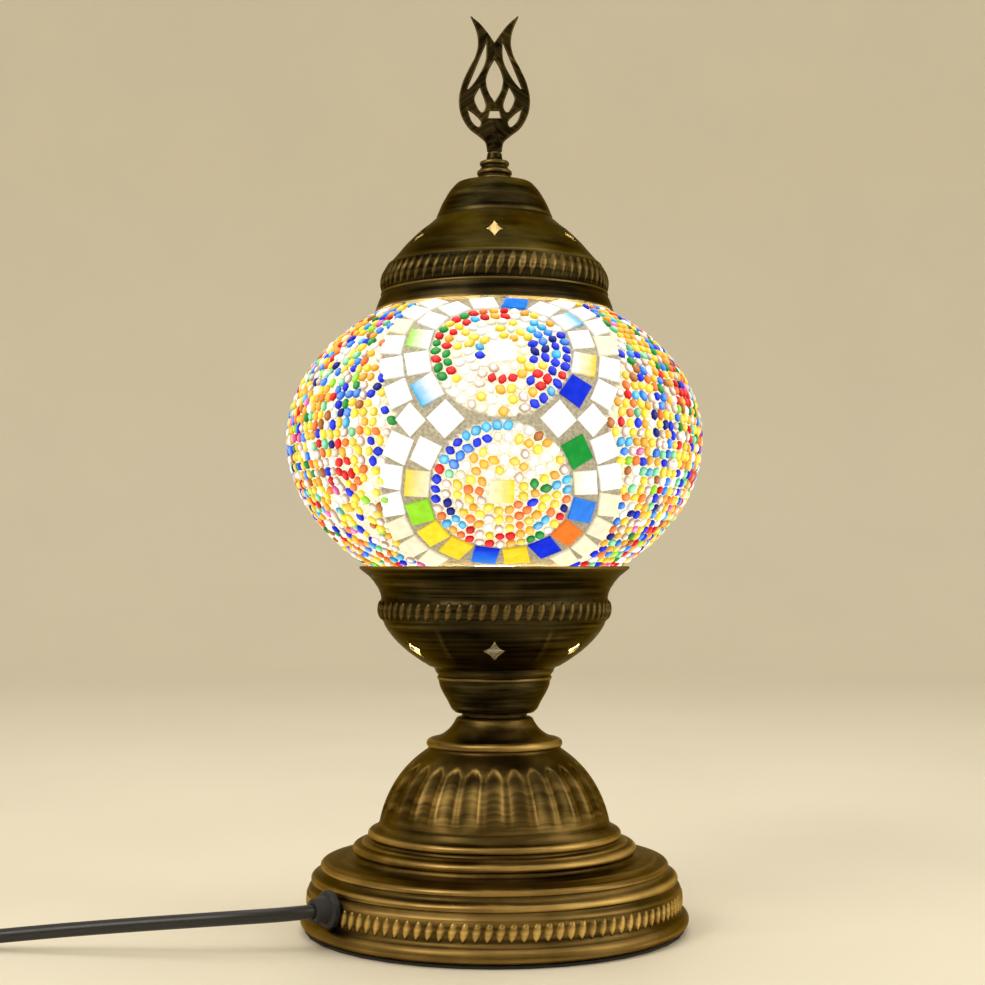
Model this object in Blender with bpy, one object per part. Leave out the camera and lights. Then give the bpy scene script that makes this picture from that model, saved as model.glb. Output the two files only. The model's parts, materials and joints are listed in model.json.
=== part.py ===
"""Mosaic glass table lamp: spun brass base, gallery cup, mosaic globe, pierced cap and tulip finial.

Lengths in the tables below are millimetres and MM turns them into metres. Z is up, the base stands on
z = 0 and its front faces -Y. Profiles are (radius, height) pairs about the lamp's axis. A closed
profile starts at its highest point, runs down its outer side and comes back up inside.
"""

import math

import bmesh
import bpy
from mathutils import Matrix, Vector

MM = 0.001
SEGMENTS = 36  # sides of the large turned pieces
SMALL_SEGMENTS = 18  # sides of the small turned pieces
GAP = 0.3  # clearance between pieces that touch

# Driving dimensions of the turned body
WALL = 1.0
BASE_WALL_RADIUS = 75.0
RIM_ROLL_RADIUS = 3.0
DOME_RADIUS, DOME_HEIGHT, DOME_CENTRE_Z = 47.0, 43.5, 36.0
BASE_TOP_Z = 84.5
CUP_BOTTOM_Z = 86.3
GLOBE_CENTRE_Z = 196.0
GLOBE_RADIUS, GLOBE_UPPER, GLOBE_LOWER = 84.0, 62.3, 64.5
MOSAIC_THICK, GLASS_THICK = 2.0, 2.5
CAP_RIM_Z, CAP_TOP_Z = 247.8, 300.0

# Stem, bulb and fastenings
STEM_RADIUS, STEM_BORE = 5.0, 3.7
STEM_HOLE = STEM_RADIUS + GAP
STUD_RADIUS = 3.0
STUD_HOLE = STUD_RADIUS + GAP
BULB_RADIUS, BULB_CENTRE_Z = 22.5, 177.5
E14_RADIUS, E14_PITCH, E14_TURNS = 7.0, 2.82, 5

# Pierced four-pointed stars
STARS = 6
STAR_POINTS_PER_SIDE = 3

# Cord, its grommet and its in-line switch
CORD_RADIUS = 2.75
CORD_SLEEVE = CORD_RADIUS + GAP
GROMMET_ANGLE = math.radians(215.0)
GROMMET_Z = 15.2
SWITCH_X, SWITCH_Y = -294.0, -43.0
SWITCH_LONG, SWITCH_WIDE, SWITCH_HIGH = 62.0, 27.0, 15.6
SWITCH_SPLIT_Z = 7.4
ROCKER_LONG, ROCKER_WIDE, ROCKER_PIVOT_Z = 17.2, 10.4, 12.2
ROCKER_REST = math.radians(7.0)
COIL_X, COIL_Y = -372.0, -6.0
COIL_INNER, COIL_OUTER, COIL_BOTTOM, COIL_TOP = 23.2, 40.6, 1.2, 17.9
PLUG_X, PLUG_Y, PLUG_Z = -269.0, 34.0, 7.2

BRASS = (0.23, 0.16, 0.07)
DARK_BRASS = (0.13, 0.10, 0.06)
STEEL = (0.55, 0.55, 0.53)
BLACK = (0.02, 0.02, 0.022)


# ---------------------------------------------------------------- scene and materials


def clear_scene():
    for obj in list(bpy.data.objects):
        bpy.data.objects.remove(obj, do_unlink=True)


def paint(obj, colour, metallic=0.0, roughness=0.5, alpha=1.0):
    """Give an object its own Principled material."""
    material = bpy.data.materials.new(obj.name + "_material")
    material.use_nodes = True
    shader = material.node_tree.nodes["Principled BSDF"]
    shader.inputs["Base Color"].default_value = (*colour, 1.0)
    shader.inputs["Metallic"].default_value = metallic
    shader.inputs["Roughness"].default_value = roughness
    shader.inputs["Alpha"].default_value = alpha
    obj.data.materials.append(material)
    return obj


def brass(obj):
    return paint(obj, BRASS, 1.0, 0.38)


def dark_brass(obj):
    return paint(obj, DARK_BRASS, 1.0, 0.42)


def steel(obj):
    return paint(obj, STEEL, 1.0, 0.3)


def black_plastic(obj):
    return paint(obj, BLACK, 0.0, 0.45)


# ---------------------------------------------------------------- building blocks


def link(name, data):
    obj = bpy.data.objects.new(name, data)
    bpy.context.scene.collection.objects.link(obj)
    return obj


def from_bmesh(name, mesh_builder, sharp_angle=30.0):
    """Turn a filled bmesh into a named object with outward normals and smooth round faces."""
    bmesh.ops.recalc_face_normals(mesh_builder, faces=mesh_builder.faces)
    mesh = bpy.data.meshes.new(name)
    mesh_builder.to_mesh(mesh)
    mesh_builder.free()
    mesh.shade_smooth()
    mesh.set_sharp_from_angle(angle=math.radians(sharp_angle))
    return link(name, mesh)


def turned(name, profile, segments=SMALL_SEGMENTS):
    """Turn a profile about Z. One that begins or ends on the axis stays open there."""
    mesh = bpy.data.meshes.new(name)
    points = [(radius * MM, 0.0, height * MM) for radius, height in profile]
    edges = [(i, i + 1) for i in range(len(points) - 1)]
    if profile[0][0] > 0.0 or profile[-1][0] > 0.0:
        edges.append((len(points) - 1, 0))
    mesh.from_pydata(points, edges, [])
    obj = link(name, mesh)
    screw = obj.modifiers.new("Turn", "SCREW")
    screw.axis = "Z"
    screw.steps = segments
    screw.render_steps = segments
    screw.use_merge_vertices = True
    screw.merge_threshold = 0.05 * MM
    screw.use_smooth_shade = True
    return obj


def arc(centre, radius, start, end, steps):
    """Points on an arc of a profile. Angles are in degrees, 0 outward and 90 up."""
    angles = [math.radians(start + (end - start) * i / steps) for i in range(steps + 1)]
    return [(centre[0] + radius * math.cos(a), centre[1] + radius * math.sin(a)) for a in angles]


def oval(radius, height, centre_z, z_from, z_to, steps):
    """Points of an oval of revolution between two heights, evenly spaced in angle."""
    start = math.asin((z_from - centre_z) / height)
    end = math.asin((z_to - centre_z) / height)
    angles = [start + (end - start) * i / steps for i in range(steps + 1)]
    return [(radius * math.cos(a), centre_z + height * math.sin(a)) for a in angles]


def hide_as_cutter(obj):
    obj.display_type = "WIRE"
    obj.hide_render = True
    return obj


def cut(obj, cutter):
    boolean = obj.modifiers.new("Cut " + cutter.name, "BOOLEAN")
    boolean.operation = "DIFFERENCE"
    boolean.solver = "EXACT"
    boolean.object = hide_as_cutter(cutter)
    return obj


def prism(builder, outline, low, high, place=None):
    """Add a straight prism over an outline to a bmesh: (x, y) pairs between two heights, all in mm."""
    place = place or Matrix.Identity(4)
    rings = []
    for height in (low, high):
        rings.append([builder.verts.new(place @ Vector((x * MM, y * MM, height * MM))) for x, y in outline])
    builder.faces.new(reversed(rings[0]))
    builder.faces.new(rings[1])
    count = len(outline)
    for i in range(count):
        j = (i + 1) % count
        builder.faces.new((rings[0][i], rings[0][j], rings[1][j], rings[1][i]))
    return rings


def rounded_rectangle(length, width, corner, steps=3):
    """Outline of a rectangle about the origin with round corners."""
    outline = []
    for quarter, (sx, sy) in enumerate(((1, 1), (-1, 1), (-1, -1), (1, -1))):
        centre = (sx * (length / 2 - corner), sy * (width / 2 - corner))
        outline += arc(centre, corner, 90.0 * quarter, 90.0 * quarter + 90.0, steps)
    return outline


def polygon(radius, sides):
    turn = 2.0 * math.pi / sides
    return [(radius * math.cos(turn * i), radius * math.sin(turn * i)) for i in range(sides)]


def prism_object(name, outline, low, high, place=None):
    builder = bmesh.new()
    prism(builder, outline, low, high, place)
    return from_bmesh(name, builder)


def moved(x, y, z=0.0):
    return Matrix.Translation((x * MM, y * MM, z * MM))


def radial_frame():
    """Frame whose Z axis points out of the base along the grommet."""
    outward = Vector((math.cos(GROMMET_ANGLE), math.sin(GROMMET_ANGLE), 0.0))
    frame = outward.to_track_quat("Z", "Y").to_matrix().to_4x4()
    frame.translation = (0.0, 0.0, GROMMET_Z * MM)
    return frame


def smooth_curve(route, spacing):
    """Points along a Catmull-Rom curve through a route, about one spacing apart, in mm."""
    knots = [Vector(point) for point in route]
    knots = [2 * knots[0] - knots[1]] + knots + [2 * knots[-1] - knots[-2]]
    points = []
    for i in range(1, len(knots) - 2):
        before, start, end, after = knots[i - 1 : i + 3]
        steps = max(1, round((end - start).length / spacing))
        for step in range(steps):
            t = step / steps
            bend = 2 * before - 5 * start + 4 * end - after
            twist = 3 * start - before - 3 * end + after
            points.append(0.5 * (2 * start + (end - before) * t + bend * t * t + twist * t**3))
    points.append(knots[-2])
    return points


def tube(name, route, radius, spacing, sides=3):
    """Round tube with capped ends along a route."""
    curve = bpy.data.curves.new(name, "CURVE")
    curve.dimensions = "3D"
    curve.bevel_depth = radius * MM
    curve.bevel_resolution = sides
    curve.use_fill_caps = True
    points = smooth_curve(route, spacing)
    spline = curve.splines.new("POLY")
    spline.points.add(len(points) - 1)
    for slot, point in zip(spline.points, points):
        slot.co = (*(point * MM), 1.0)
    return link(name, curve)


# ---------------------------------------------------------------- base


def base_outer():
    """Outer side of the base, from the neck down to the rolled rim."""
    neck = [(STEM_HOLE, BASE_TOP_Z), (14.6, BASE_TOP_Z), (15.4, 84.0), (16.4, 82.2), (18.2, 79.8)]
    neck += [(21.2, 77.4), (25.2, 75.9)]
    collar = arc((25.6, 74.0), 1.9, 60, -50, 2)
    dome = oval(DOME_RADIUS, DOME_HEIGHT, DOME_CENTRE_Z, 71.0, 42.0, 5)
    first_ring = [(48.2, 40.4)] + arc((49.4, 37.9), 1.7, 70, -50, 2) + [(50.6, 35.4)]
    second_ring = [(53.6, 34.8)] + arc((55.4, 32.2), 1.8, 70, -50, 2) + [(56.6, 29.4)]
    ledge = [(58.6, 28.6), (66.5, 27.9)] + arc((68.4, 25.4), 1.7, 75, -25, 2)
    third_ring = [(70.9, 22.6)] + arc((72.2, 20.6), 1.6, 60, -50, 2)
    wall = [(74.7, 17.8), (BASE_WALL_RADIUS, 16.8), (BASE_WALL_RADIUS, 8.6)]
    rim_centre = (BASE_WALL_RADIUS + 0.3, RIM_ROLL_RADIUS + 1.0 + GAP)
    rim = arc(rim_centre, RIM_ROLL_RADIUS, 85, -90, 5)
    return neck + collar + dome + first_ring + second_ring + ledge + third_ring + wall + rim


def base_inner():
    """Inner side of the base, from the rolled rim up to the neck."""
    wall_radius = BASE_WALL_RADIUS - 1.1
    wall = [(72.9, 2.6), (72.7, 6.4), (wall_radius, 9.0), (wall_radius, 16.6)]
    steps = [(71.4, 19.4), (68.9, 23.4), (67.3, 26.3), (57.6, 27.3), (54.5, 30.4), (51.5, 33.3)]
    steps += [(48.6, 35.0), (47.0, 38.4)]
    dome = oval(DOME_RADIUS - WALL, DOME_HEIGHT - WALL, DOME_CENTRE_Z, 41.0, 70.6, 4)
    neck = [(24.6, 72.8), (23.5, 74.6), (20.3, 76.3), (17.1, 79.0), (15.2, 81.6), (14.3, 83.3)]
    return wall + steps + dome + neck + [(STEM_HOLE, 83.3)]


def make_base():
    shell = brass(turned("base_shell", base_outer() + base_inner(), SEGMENTS))
    hole = prism_object("cord_hole_cutter", polygon(4.6, 16), 68.0, 80.0, radial_frame())
    cut(shell, hole)
    pad_radius = BASE_WALL_RADIUS + 1.5
    pad = turned("base_pad", [(0, 1.0), (pad_radius - 0.4, 1.0), (pad_radius, 0.6), (pad_radius, 0), (0, 0)], SEGMENTS)
    paint(pad, (0.03, 0.03, 0.03), 0.0, 0.95)


def ring_profile(inner, outer, low, high):
    """Square-cut ring, such as a washer."""
    return [(inner, high), (outer, high), (outer, low), (inner, low)]


def hex_nut(name, across_flats, bore, low, high):
    corner = across_flats / math.sqrt(3.0)
    nut = prism_object(name, polygon(corner, 6), low, high)
    bore_cutter = prism_object(name + "_bore_cutter", polygon(bore, SMALL_SEGMENTS), low - 1.0, high + 1.0)
    return cut(nut, bore_cutter)


def make_stem():
    steel(turned("stem_tube", ring_profile(STEM_BORE, STEM_RADIUS, 70.0, 100.0)))
    steel(turned("lower_washer", ring_profile(STEM_HOLE, 9.5, 81.8, 83.0)))
    steel(hex_nut("lower_nut", 14.0, STEM_HOLE, 77.3, 81.5))
    dark_brass(turned("neck_spacer", ring_profile(STEM_HOLE, 13.2, BASE_TOP_Z + GAP, CUP_BOTTOM_Z - GAP)))
    steel(turned("upper_washer", ring_profile(STEM_HOLE, 9.0, 87.9, 89.1)))
    steel(hex_nut("upper_nut", 14.0, STEM_HOLE, 89.4, 93.6))


# ---------------------------------------------------------------- gallery cup and cap


def star_outline(half_width, half_height):
    """Four-pointed star with concave sides: each side is an arc that bows towards the centre."""
    outline = []
    for quarter in range(4):
        for step in range(STAR_POINTS_PER_SIDE):
            t = 0.5 * math.pi * (quarter + step / STAR_POINTS_PER_SIDE)
            pinch = 2.0  # exponent that draws the sides in
            x = math.copysign(abs(math.cos(t)) ** pinch, round(math.cos(t), 9))
            y = math.copysign(abs(math.sin(t)) ** pinch, round(math.sin(t), 9))
            curve = 1.0 - 0.9 * abs(x * y)
            outline.append((half_width * x * curve, half_height * y * curve))
    return outline


def star_cutters(name, centre, slope, half_width, half_height):
    """Ring of star prisms square to a conical wall: its middle and its direction up the wall."""
    builder = bmesh.new()
    up_wall = Vector((slope[0], 0.0, slope[1])).normalized()
    across = Vector((0.0, 1.0, 0.0))
    outward = across.cross(up_wall)
    frame = Matrix((across, up_wall, outward)).transposed().to_4x4()
    frame.translation = Vector((centre[0], 0.0, centre[1])) * MM
    for i in range(STARS):
        turn = Matrix.Rotation(math.radians(-90.0 + 360.0 * i / STARS), 4, "Z")
        prism(builder, star_outline(half_width, half_height), -4.0, 4.0, turn @ frame)
    return from_bmesh(name, builder)


def cup_profile():
    rim = [(53.9, 145.4), (54.5, 145.2), (54.6, 144.5), (52.4, 142.7), (50.5, 141.1), (48.6, 138.9)]
    waist = [(47.0, 136.4), (46.1, 134.2), (45.8, 132.2)]
    rope_band = [(46.5, 130.8), (46.6, 127.5), (45.9, 124.4), (44.9, 122.8), (44.6, 121.9)]
    bowl = [(42.8, 119.5), (39.0, 114.9), (33.9, 110.3), (30.2, 107.5), (26.5, 105.2)]
    rings = [(24.4, 104.5), (23.9, 102.8), (22.8, 101.5), (23.1, 100.3), (22.6, 99.2)]
    foot = [(22.2, 97.2), (20.9, 94.3), (19.0, 91.0), (17.5, 88.0), (15.8, CUP_BOTTOM_Z)]
    floor = [(STEM_HOLE, CUP_BOTTOM_Z), (STEM_HOLE, 87.5), (15.2, 87.5)]
    inside = [(17.9, 91.6), (20.9, 97.4), (22.0, 102.0), (22.8, 104.6), (25.9, 106.5), (33.2, 111.4)]
    inside += [(38.0, 115.8), (41.8, 120.2), (44.1, 123.9), (45.4, 127.8), (44.8, 132.0)]
    inside += [(45.1, 134.4), (46.2, 137.2), (47.8, 139.8), (49.8, 142.0)]
    return rim + waist + rope_band + bowl + rings + foot + floor + inside


def cap_profile():
    crown = [(STUD_HOLE, CAP_TOP_Z), (15.0, CAP_TOP_Z), (16.6, 298.6), (18.6, 296.1), (21.3, 291.4)]
    crown += [(23.2, 286.9), (23.3, 285.4), (24.6, 284.6)]
    cone = [(27.2, 282.3), (30.6, 279.7), (35.7, 274.7), (39.9, 269.8), (42.2, 267.3)]
    rope_band = [(43.4, 266.4), (43.6, 265.2), (44.9, 262.4), (45.5, 259.0), (45.3, 256.2), (46.0, 255.0)]
    skirt = [(46.1, 254.0), (47.3, 250.8), (48.2, CAP_RIM_Z), (47.2, CAP_RIM_Z)]
    inside = [(46.3, 250.6), (45.0, 253.8), (44.2, 256.2), (44.4, 259.4), (43.6, 262.4), (42.2, 264.9)]
    inside += [(38.6, 269.3), (34.4, 273.9), (29.6, 278.5), (23.6, 283.2), (22.0, 286.6)]
    inside += [(20.2, 291.0), (17.4, 295.8), (15.3, 298.1), (14.6, 298.8), (STUD_HOLE, 298.8)]
    return crown + cone + rope_band + skirt + inside


def make_cup():
    cup = dark_brass(turned("cup_shell", cup_profile(), SEGMENTS))
    cut(cup, star_cutters("cup_star_cutters", (36.4, 112.6), (5.1, 4.6), 4.6, 5.8))


def make_cap():
    cap = dark_brass(turned("cap_shell", cap_profile(), SEGMENTS))
    cut(cap, star_cutters("cap_star_cutters", (34.4, 275.8), (-5.0, 5.0), 4.2, 5.2))
    steel(turned("cap_stud", [(0, 307.4), (2.6, 307.4), (3.0, 306.8), (3.0, 250.6), (2.6, 250.0), (0, 250.0)]))
    steel(hex_nut("cap_nut", 10.0, STUD_HOLE, 251.6, 256.6))
    make_bracket()


def make_bracket():
    """Spring bracket: a bar across the cap's inside with a leg down each side of the globe's neck."""
    thick, reach, bar_z, leg_z, half_wide = 1.4, 36.6, 256.9, 244.0, 6.0
    outline = [(-reach, leg_z), (-reach + thick, leg_z - 0.3), (-reach + thick, bar_z), (reach - thick, bar_z)]
    outline += [(reach - thick, leg_z - 0.3), (reach, leg_z), (reach, bar_z + thick - 0.6)]
    outline += [(reach - 0.6, bar_z + thick), (-reach + 0.6, bar_z + thick), (-reach, bar_z + thick - 0.6)]
    upright = Matrix.Rotation(math.radians(90.0), 4, "X")
    bracket = prism_object("cap_bracket", outline, -half_wide, half_wide, upright)
    bore = prism_object("bracket_bore_cutter", polygon(STUD_HOLE, SMALL_SEGMENTS), 250.0, 262.0)
    steel(cut(bracket, bore))


# ---------------------------------------------------------------- globe


def globe_side(inset, low_radius, high_radius, steps):
    """One face of the globe, this far in from the mosaic's face, from a radius above to one below."""
    radius = GLOBE_RADIUS - inset
    upper = GLOBE_UPPER - inset
    lower = GLOBE_LOWER - inset
    z_high = GLOBE_CENTRE_Z + upper * math.sqrt(1.0 - (high_radius / radius) ** 2)
    z_low = GLOBE_CENTRE_Z - lower * math.sqrt(1.0 - (low_radius / radius) ** 2)
    points = oval(radius, upper, GLOBE_CENTRE_Z, z_high, GLOBE_CENTRE_Z, steps)
    return points + oval(radius, lower, GLOBE_CENTRE_Z, GLOBE_CENTRE_Z, z_low, steps)[1:]


def make_globe():
    outside = MOSAIC_THICK + GAP
    inside = outside + GLASS_THICK
    top_neck = [(39.6, 254.0), (42.0, 254.0)]
    bottom_neck = [(46.0, 138.6), (45.6, 138.0), (43.7, 138.0)]
    outer = globe_side(outside, 46.0, 42.0, 6)
    inner = list(reversed(globe_side(inside, 43.7, 39.6, 6)))
    glass = turned("globe_glass", top_neck + outer + bottom_neck + inner, SEGMENTS)
    paint(glass, (0.95, 0.93, 0.85), 0.0, 0.1, 0.5)
    face = globe_side(0.0, 49.0, 44.5, 6)
    back = list(reversed(globe_side(MOSAIC_THICK, 49.0, 44.5, 6)))
    mosaic = turned("mosaic_skin", face + back, SEGMENTS)
    paint(mosaic, (0.85, 0.75, 0.4), 0.0, 0.25)


# ---------------------------------------------------------------- finial


def spline_stretch(points, steps=3):
    """Points of a smooth stretch of the finial's outline, without its last point."""
    flat = [(x, 0.0, z) for x, z in points]
    longest = max((Vector(b) - Vector(a)).length for a, b in zip(flat, flat[1:]))
    return [(p.x, p.z) for p in smooth_curve(flat, longest / steps)][:-1]


def mirrored(points):
    return [(-x, z) for x, z in reversed(points)]


def tulip_outline():
    """Outside edge of the tulip, up its left side from the foot, over the notch and down the right."""
    foot = (-3.0, 313.3)
    left = [foot, (-3.7, 317.0), (-6.4, 319.6), (-10.6, 323.0), (-13.7, 328.6), (-14.4, 334.4)]
    left += [(-13.1, 340.6), (-10.6, 346.2), (-7.7, 351.9), (-6.7, 357.0), (-7.4, 362.4), (-9.7, 368.0)]
    inner_edge = [(-9.7, 368.0), (-6.2, 365.2), (-2.9, 361.4), (0.0, 357.2)]
    rise = spline_stretch(left, 2)
    fall = spline_stretch(inner_edge, 2)
    return rise + fall + [(0.0, 357.2)] + mirrored(fall) + mirrored(rise)[:-1] + [(3.0, 313.3)]


def tulip_holes():
    """Openings of the tulip: one in the middle, the rest in pairs."""
    middle = [(0.0, 350.6), (-2.2, 346.6), (-3.4, 342.0), (-2.4, 337.2), (0.0, 333.2)]
    lens = spline_stretch(middle, 1) + [(0.0, 333.2)] + mirrored(spline_stretch(middle, 1))[:-1]
    window = [(-1.8, 329.9), (1.8, 329.9), (2.6, 326.6), (-2.6, 326.6)]
    long_sliver = [(-3.3, 357.4), (-5.2, 353.0), (-8.0, 346.2), (-11.0, 338.6), (-9.4, 339.6)]
    long_sliver += [(-6.3, 344.0), (-3.6, 350.0)]
    side = [(-6.0, 339.4), (-8.1, 334.4), (-5.4, 329.0), (-3.6, 332.0)]
    low_sliver = [(-10.9, 330.4), (-8.4, 328.6), (-5.6, 325.6), (-6.4, 323.0), (-9.2, 325.4)]
    holes = [lens, window]
    for hole in (long_sliver, side, low_sliver):
        holes += [hole, mirrored(hole)]
    return holes


def make_finial():
    ferrule = [(0, 313.0), (2.6, 313.0), (3.0, 312.0), (3.4, 309.6), (4.6, 308.8), (4.9, 307.4), (4.4, 306.2)]
    ferrule += [(5.9, 305.4), (6.2, 304.2), (5.8, 303.2), (7.0, 302.6), (7.5, 301.4), (7.4, 300.3)]
    ferrule += [(STUD_HOLE, 300.3), (STUD_HOLE, 307.9), (0, 307.9)]
    dark_brass(turned("finial_ferrule", ferrule))

    half_thick = 1.5
    builder = bmesh.new()
    edges = []
    for loop in [tulip_outline()] + tulip_holes():
        verts = [builder.verts.new((x * MM, -half_thick * MM, z * MM)) for x, z in loop]
        edges += [builder.edges.new((a, b)) for a, b in zip(verts, verts[1:] + verts[:1])]
    bmesh.ops.triangle_fill(builder, use_beauty=True, edges=edges)
    raised = bmesh.ops.extrude_face_region(builder, geom=list(builder.faces))
    moving = [item for item in raised["geom"] if isinstance(item, bmesh.types.BMVert)]
    bmesh.ops.translate(builder, vec=(0.0, 2.0 * half_thick * MM, 0.0), verts=moving)
    dark_brass(from_bmesh("finial_tulip", builder))


# ---------------------------------------------------------------- lampholder and bulb


def make_lampholder():
    entry = [(13.0, 107.2), (14.4, 107.2), (14.4, 103.6), (12.8, 97.6), (9.0, 94.6), (STEM_HOLE, 94.6)]
    entry += [(STEM_HOLE, 95.9), (8.6, 95.9), (11.4, 98.2), (13.0, 103.8)]
    black_plastic(turned("socket_cap", entry))
    shell = [(8.8, 142.5), (12.6, 142.5), (13.6, 141.5), (13.6, 112.2), (14.4, 111.6), (14.4, 107.5)]
    shell += [(12.6, 107.5), (12.6, 119.5), (8.8, 119.5)]
    black_plastic(turned("socket_shell", shell))
    brass(turned("socket_sleeve", ring_profile(E14_RADIUS + 0.5, E14_RADIUS + 1.4, 121.0, 141.0)))
    core = [(0, 119.0), (12.2, 119.0), (12.2, 112.4), (0, 112.4)]
    paint(turned("socket_core", core), (0.8, 0.78, 0.72), 0.0, 0.4)
    brass(turned("socket_contact", [(0, 119.8), (2.2, 119.8), (2.8, 119.3), (0, 119.3)]))
    wires = {"socket_wire_live": (1, (0.25, 0.12, 0.05)), "socket_wire_neutral": (-1, (0.05, 0.12, 0.4))}
    for name, (side, colour) in wires.items():
        route = [(side * 1.4, 0, 103.4), (side * 2.6, 0, 105.6), (side * 5.0, 0, 108.2), (side * 5.6, 0, 112.0)]
        paint(tube(name, route, 0.9, 2.5, 2), colour, 0.0, 0.5)


def make_bulb():
    neck_z = 143.3
    globe_start = 160.0
    outside = oval(BULB_RADIUS, BULB_RADIUS, BULB_CENTRE_Z, BULB_CENTRE_Z + BULB_RADIUS, globe_start, 8)
    outside += [(10.0, 152.0), (7.8, 147.0), (7.4, neck_z)]
    thick = 1.0
    radius = BULB_RADIUS - thick
    inside = [(6.3, neck_z), (6.7, 147.2), (9.0, 152.6)]
    inside += oval(radius, radius, BULB_CENTRE_Z, globe_start + 0.6, BULB_CENTRE_Z + radius, 8)
    paint(turned("bulb_glass", outside + inside), (1.0, 0.96, 0.85), 0.0, 0.2)

    crest, root = E14_RADIUS, E14_RADIUS - 0.5
    thread = [(root, 143.0)]
    for turn in range(E14_TURNS):
        top = 141.0 - turn * E14_PITCH
        thread += [(root, top), (crest, top - E14_PITCH / 2)]
    bottom = [(root, 126.0), (4.0, 122.6), (3.0, 122.6), (3.0, 123.4), (root - 0.8, 126.8)]
    screw_cap = thread + bottom + [(root - 0.8, 143.0)]
    paint(turned("bulb_screw_cap", screw_cap), (0.6, 0.6, 0.58), 1.0, 0.25)
    insulator = [(0, 122.2), (2.6, 122.2), (3.6, 122.3), (3.2, 121.6), (0, 121.6)]
    paint(turned("bulb_insulator", insulator), (0.01, 0.01, 0.01), 0.0, 0.2)
    steel(turned("bulb_contact", [(0, 121.3), (1.8, 121.3), (1.4, 120.5), (0, 120.2)]))
    board = [(0, 150.2), (5.6, 150.2), (5.6, 149.0), (0, 149.0)]
    paint(turned("bulb_led_board", board), (0.9, 0.9, 0.88), 0.0, 0.5)


# ---------------------------------------------------------------- cord, grommet, switch and plug


def along_grommet(distance, z=GROMMET_Z):
    """Point this far from the lamp's axis on the line through the grommet."""
    return (distance * math.cos(GROMMET_ANGLE), distance * math.sin(GROMMET_ANGLE), z)


def make_grommet():
    profile = [(CORD_SLEEVE, 84.0), (4.2, 84.0), (4.9, 82.6), (5.3, 79.0), (6.8, 78.4), (7.2, 77.6)]
    profile += [(7.2, 75.4), (4.3, 75.4), (4.3, 69.3), (6.0, 69.3), (6.0, 68.0), (5.0, 67.2)]
    profile += [(CORD_SLEEVE, 67.2)]
    grommet = turned("cord_grommet", profile)
    grommet.matrix_world = radial_frame()
    paint(grommet, BLACK, 0.0, 0.7)


def make_cord():
    start = SWITCH_X + SWITCH_LONG / 2 - 1.5
    lead = [along_grommet(75.1), along_grommet(88.0), (-82.6, -54.0, 14.9), (-98.0, -55.2, 14.1)]
    lead += [(-130.0, -52.4, 11.4), (-160.0, -48.6, 8.4), (-185.0, -45.6, 5.6), (-205.0, -44.0, 3.4)]
    lead += [(-222.0, -43.2, 2.9), (-240.0, -43.0, 4.4), (-254.0, SWITCH_Y, 7.0), (start, SWITCH_Y, SWITCH_SPLIT_Z)]
    black_plastic(tube("cord_lead", lead, CORD_RADIUS, 8.0))

    end = SWITCH_X - SWITCH_LONG / 2 + 1.5
    middle = [(end, SWITCH_Y, SWITCH_SPLIT_Z), (-332.0, SWITCH_Y, 6.6), (-341.0, -43.1, 4.9), (-350.4, -43.2, 4.1)]
    black_plastic(tube("cord_middle", middle, CORD_RADIUS, 6.0))

    tail = [(-350.0, 31.4, 14.4), (-340.0, 32.2, 12.6), (-328.0, 33.3, 9.2), (-319.0, 33.9, 7.5), (-314.3, PLUG_Y, PLUG_Z)]
    black_plastic(tube("cord_end", tail, CORD_RADIUS, 6.0))

    inner = [along_grommet(74.7), along_grommet(64.0), along_grommet(52.0, 16.4), along_grommet(38.0, 21.0)]
    inner += [along_grommet(24.0, 30.0), along_grommet(12.0, 42.0), along_grommet(3.6, 54.0)]
    inner += [along_grommet(0.5, 63.0), (0, 0, 72.0), (0, 0, 86.0), (0, 0, 102.6)]
    black_plastic(tube("inner_lead", inner, CORD_RADIUS, 8.0))


def make_coil():
    edge = 2.4
    outer_top = arc((COIL_OUTER - edge, COIL_TOP - edge), edge, 90, 0, 1)
    outer_bottom = arc((COIL_OUTER - edge, COIL_BOTTOM + edge), edge, 0, -90, 1)
    inner_bottom = arc((COIL_INNER + edge, COIL_BOTTOM + edge), edge, -90, -180, 1)
    inner_top = arc((COIL_INNER + edge, COIL_TOP - edge), edge, 180, 90, 1)
    coil = turned("cord_coil", outer_top + outer_bottom + inner_bottom + inner_top, SEGMENTS)
    coil.location = (COIL_X * MM, COIL_Y * MM, 0.0)
    black_plastic(coil)

    strap = 0.8
    long_side = COIL_OUTER - COIL_INNER + 2.6
    high_side = COIL_TOP - COIL_BOTTOM + 2.2
    upright = Matrix.Rotation(math.radians(90.0), 4, "X")
    place = moved(COIL_X + (COIL_INNER + COIL_OUTER) / 2 - 0.2, COIL_Y, (COIL_BOTTOM + COIL_TOP) / 2) @ upright
    tie = prism_object("coil_tie", rounded_rectangle(long_side, high_side, 2.2, 2), -4.0, 4.0, place)
    inside = rounded_rectangle(long_side - 2 * strap, high_side - 2 * strap, 1.4, 2)
    cut(tie, prism_object("tie_cutter", inside, -6.0, 6.0, place))
    paint(tie, (0.015, 0.015, 0.015), 0.0, 0.9)


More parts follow.
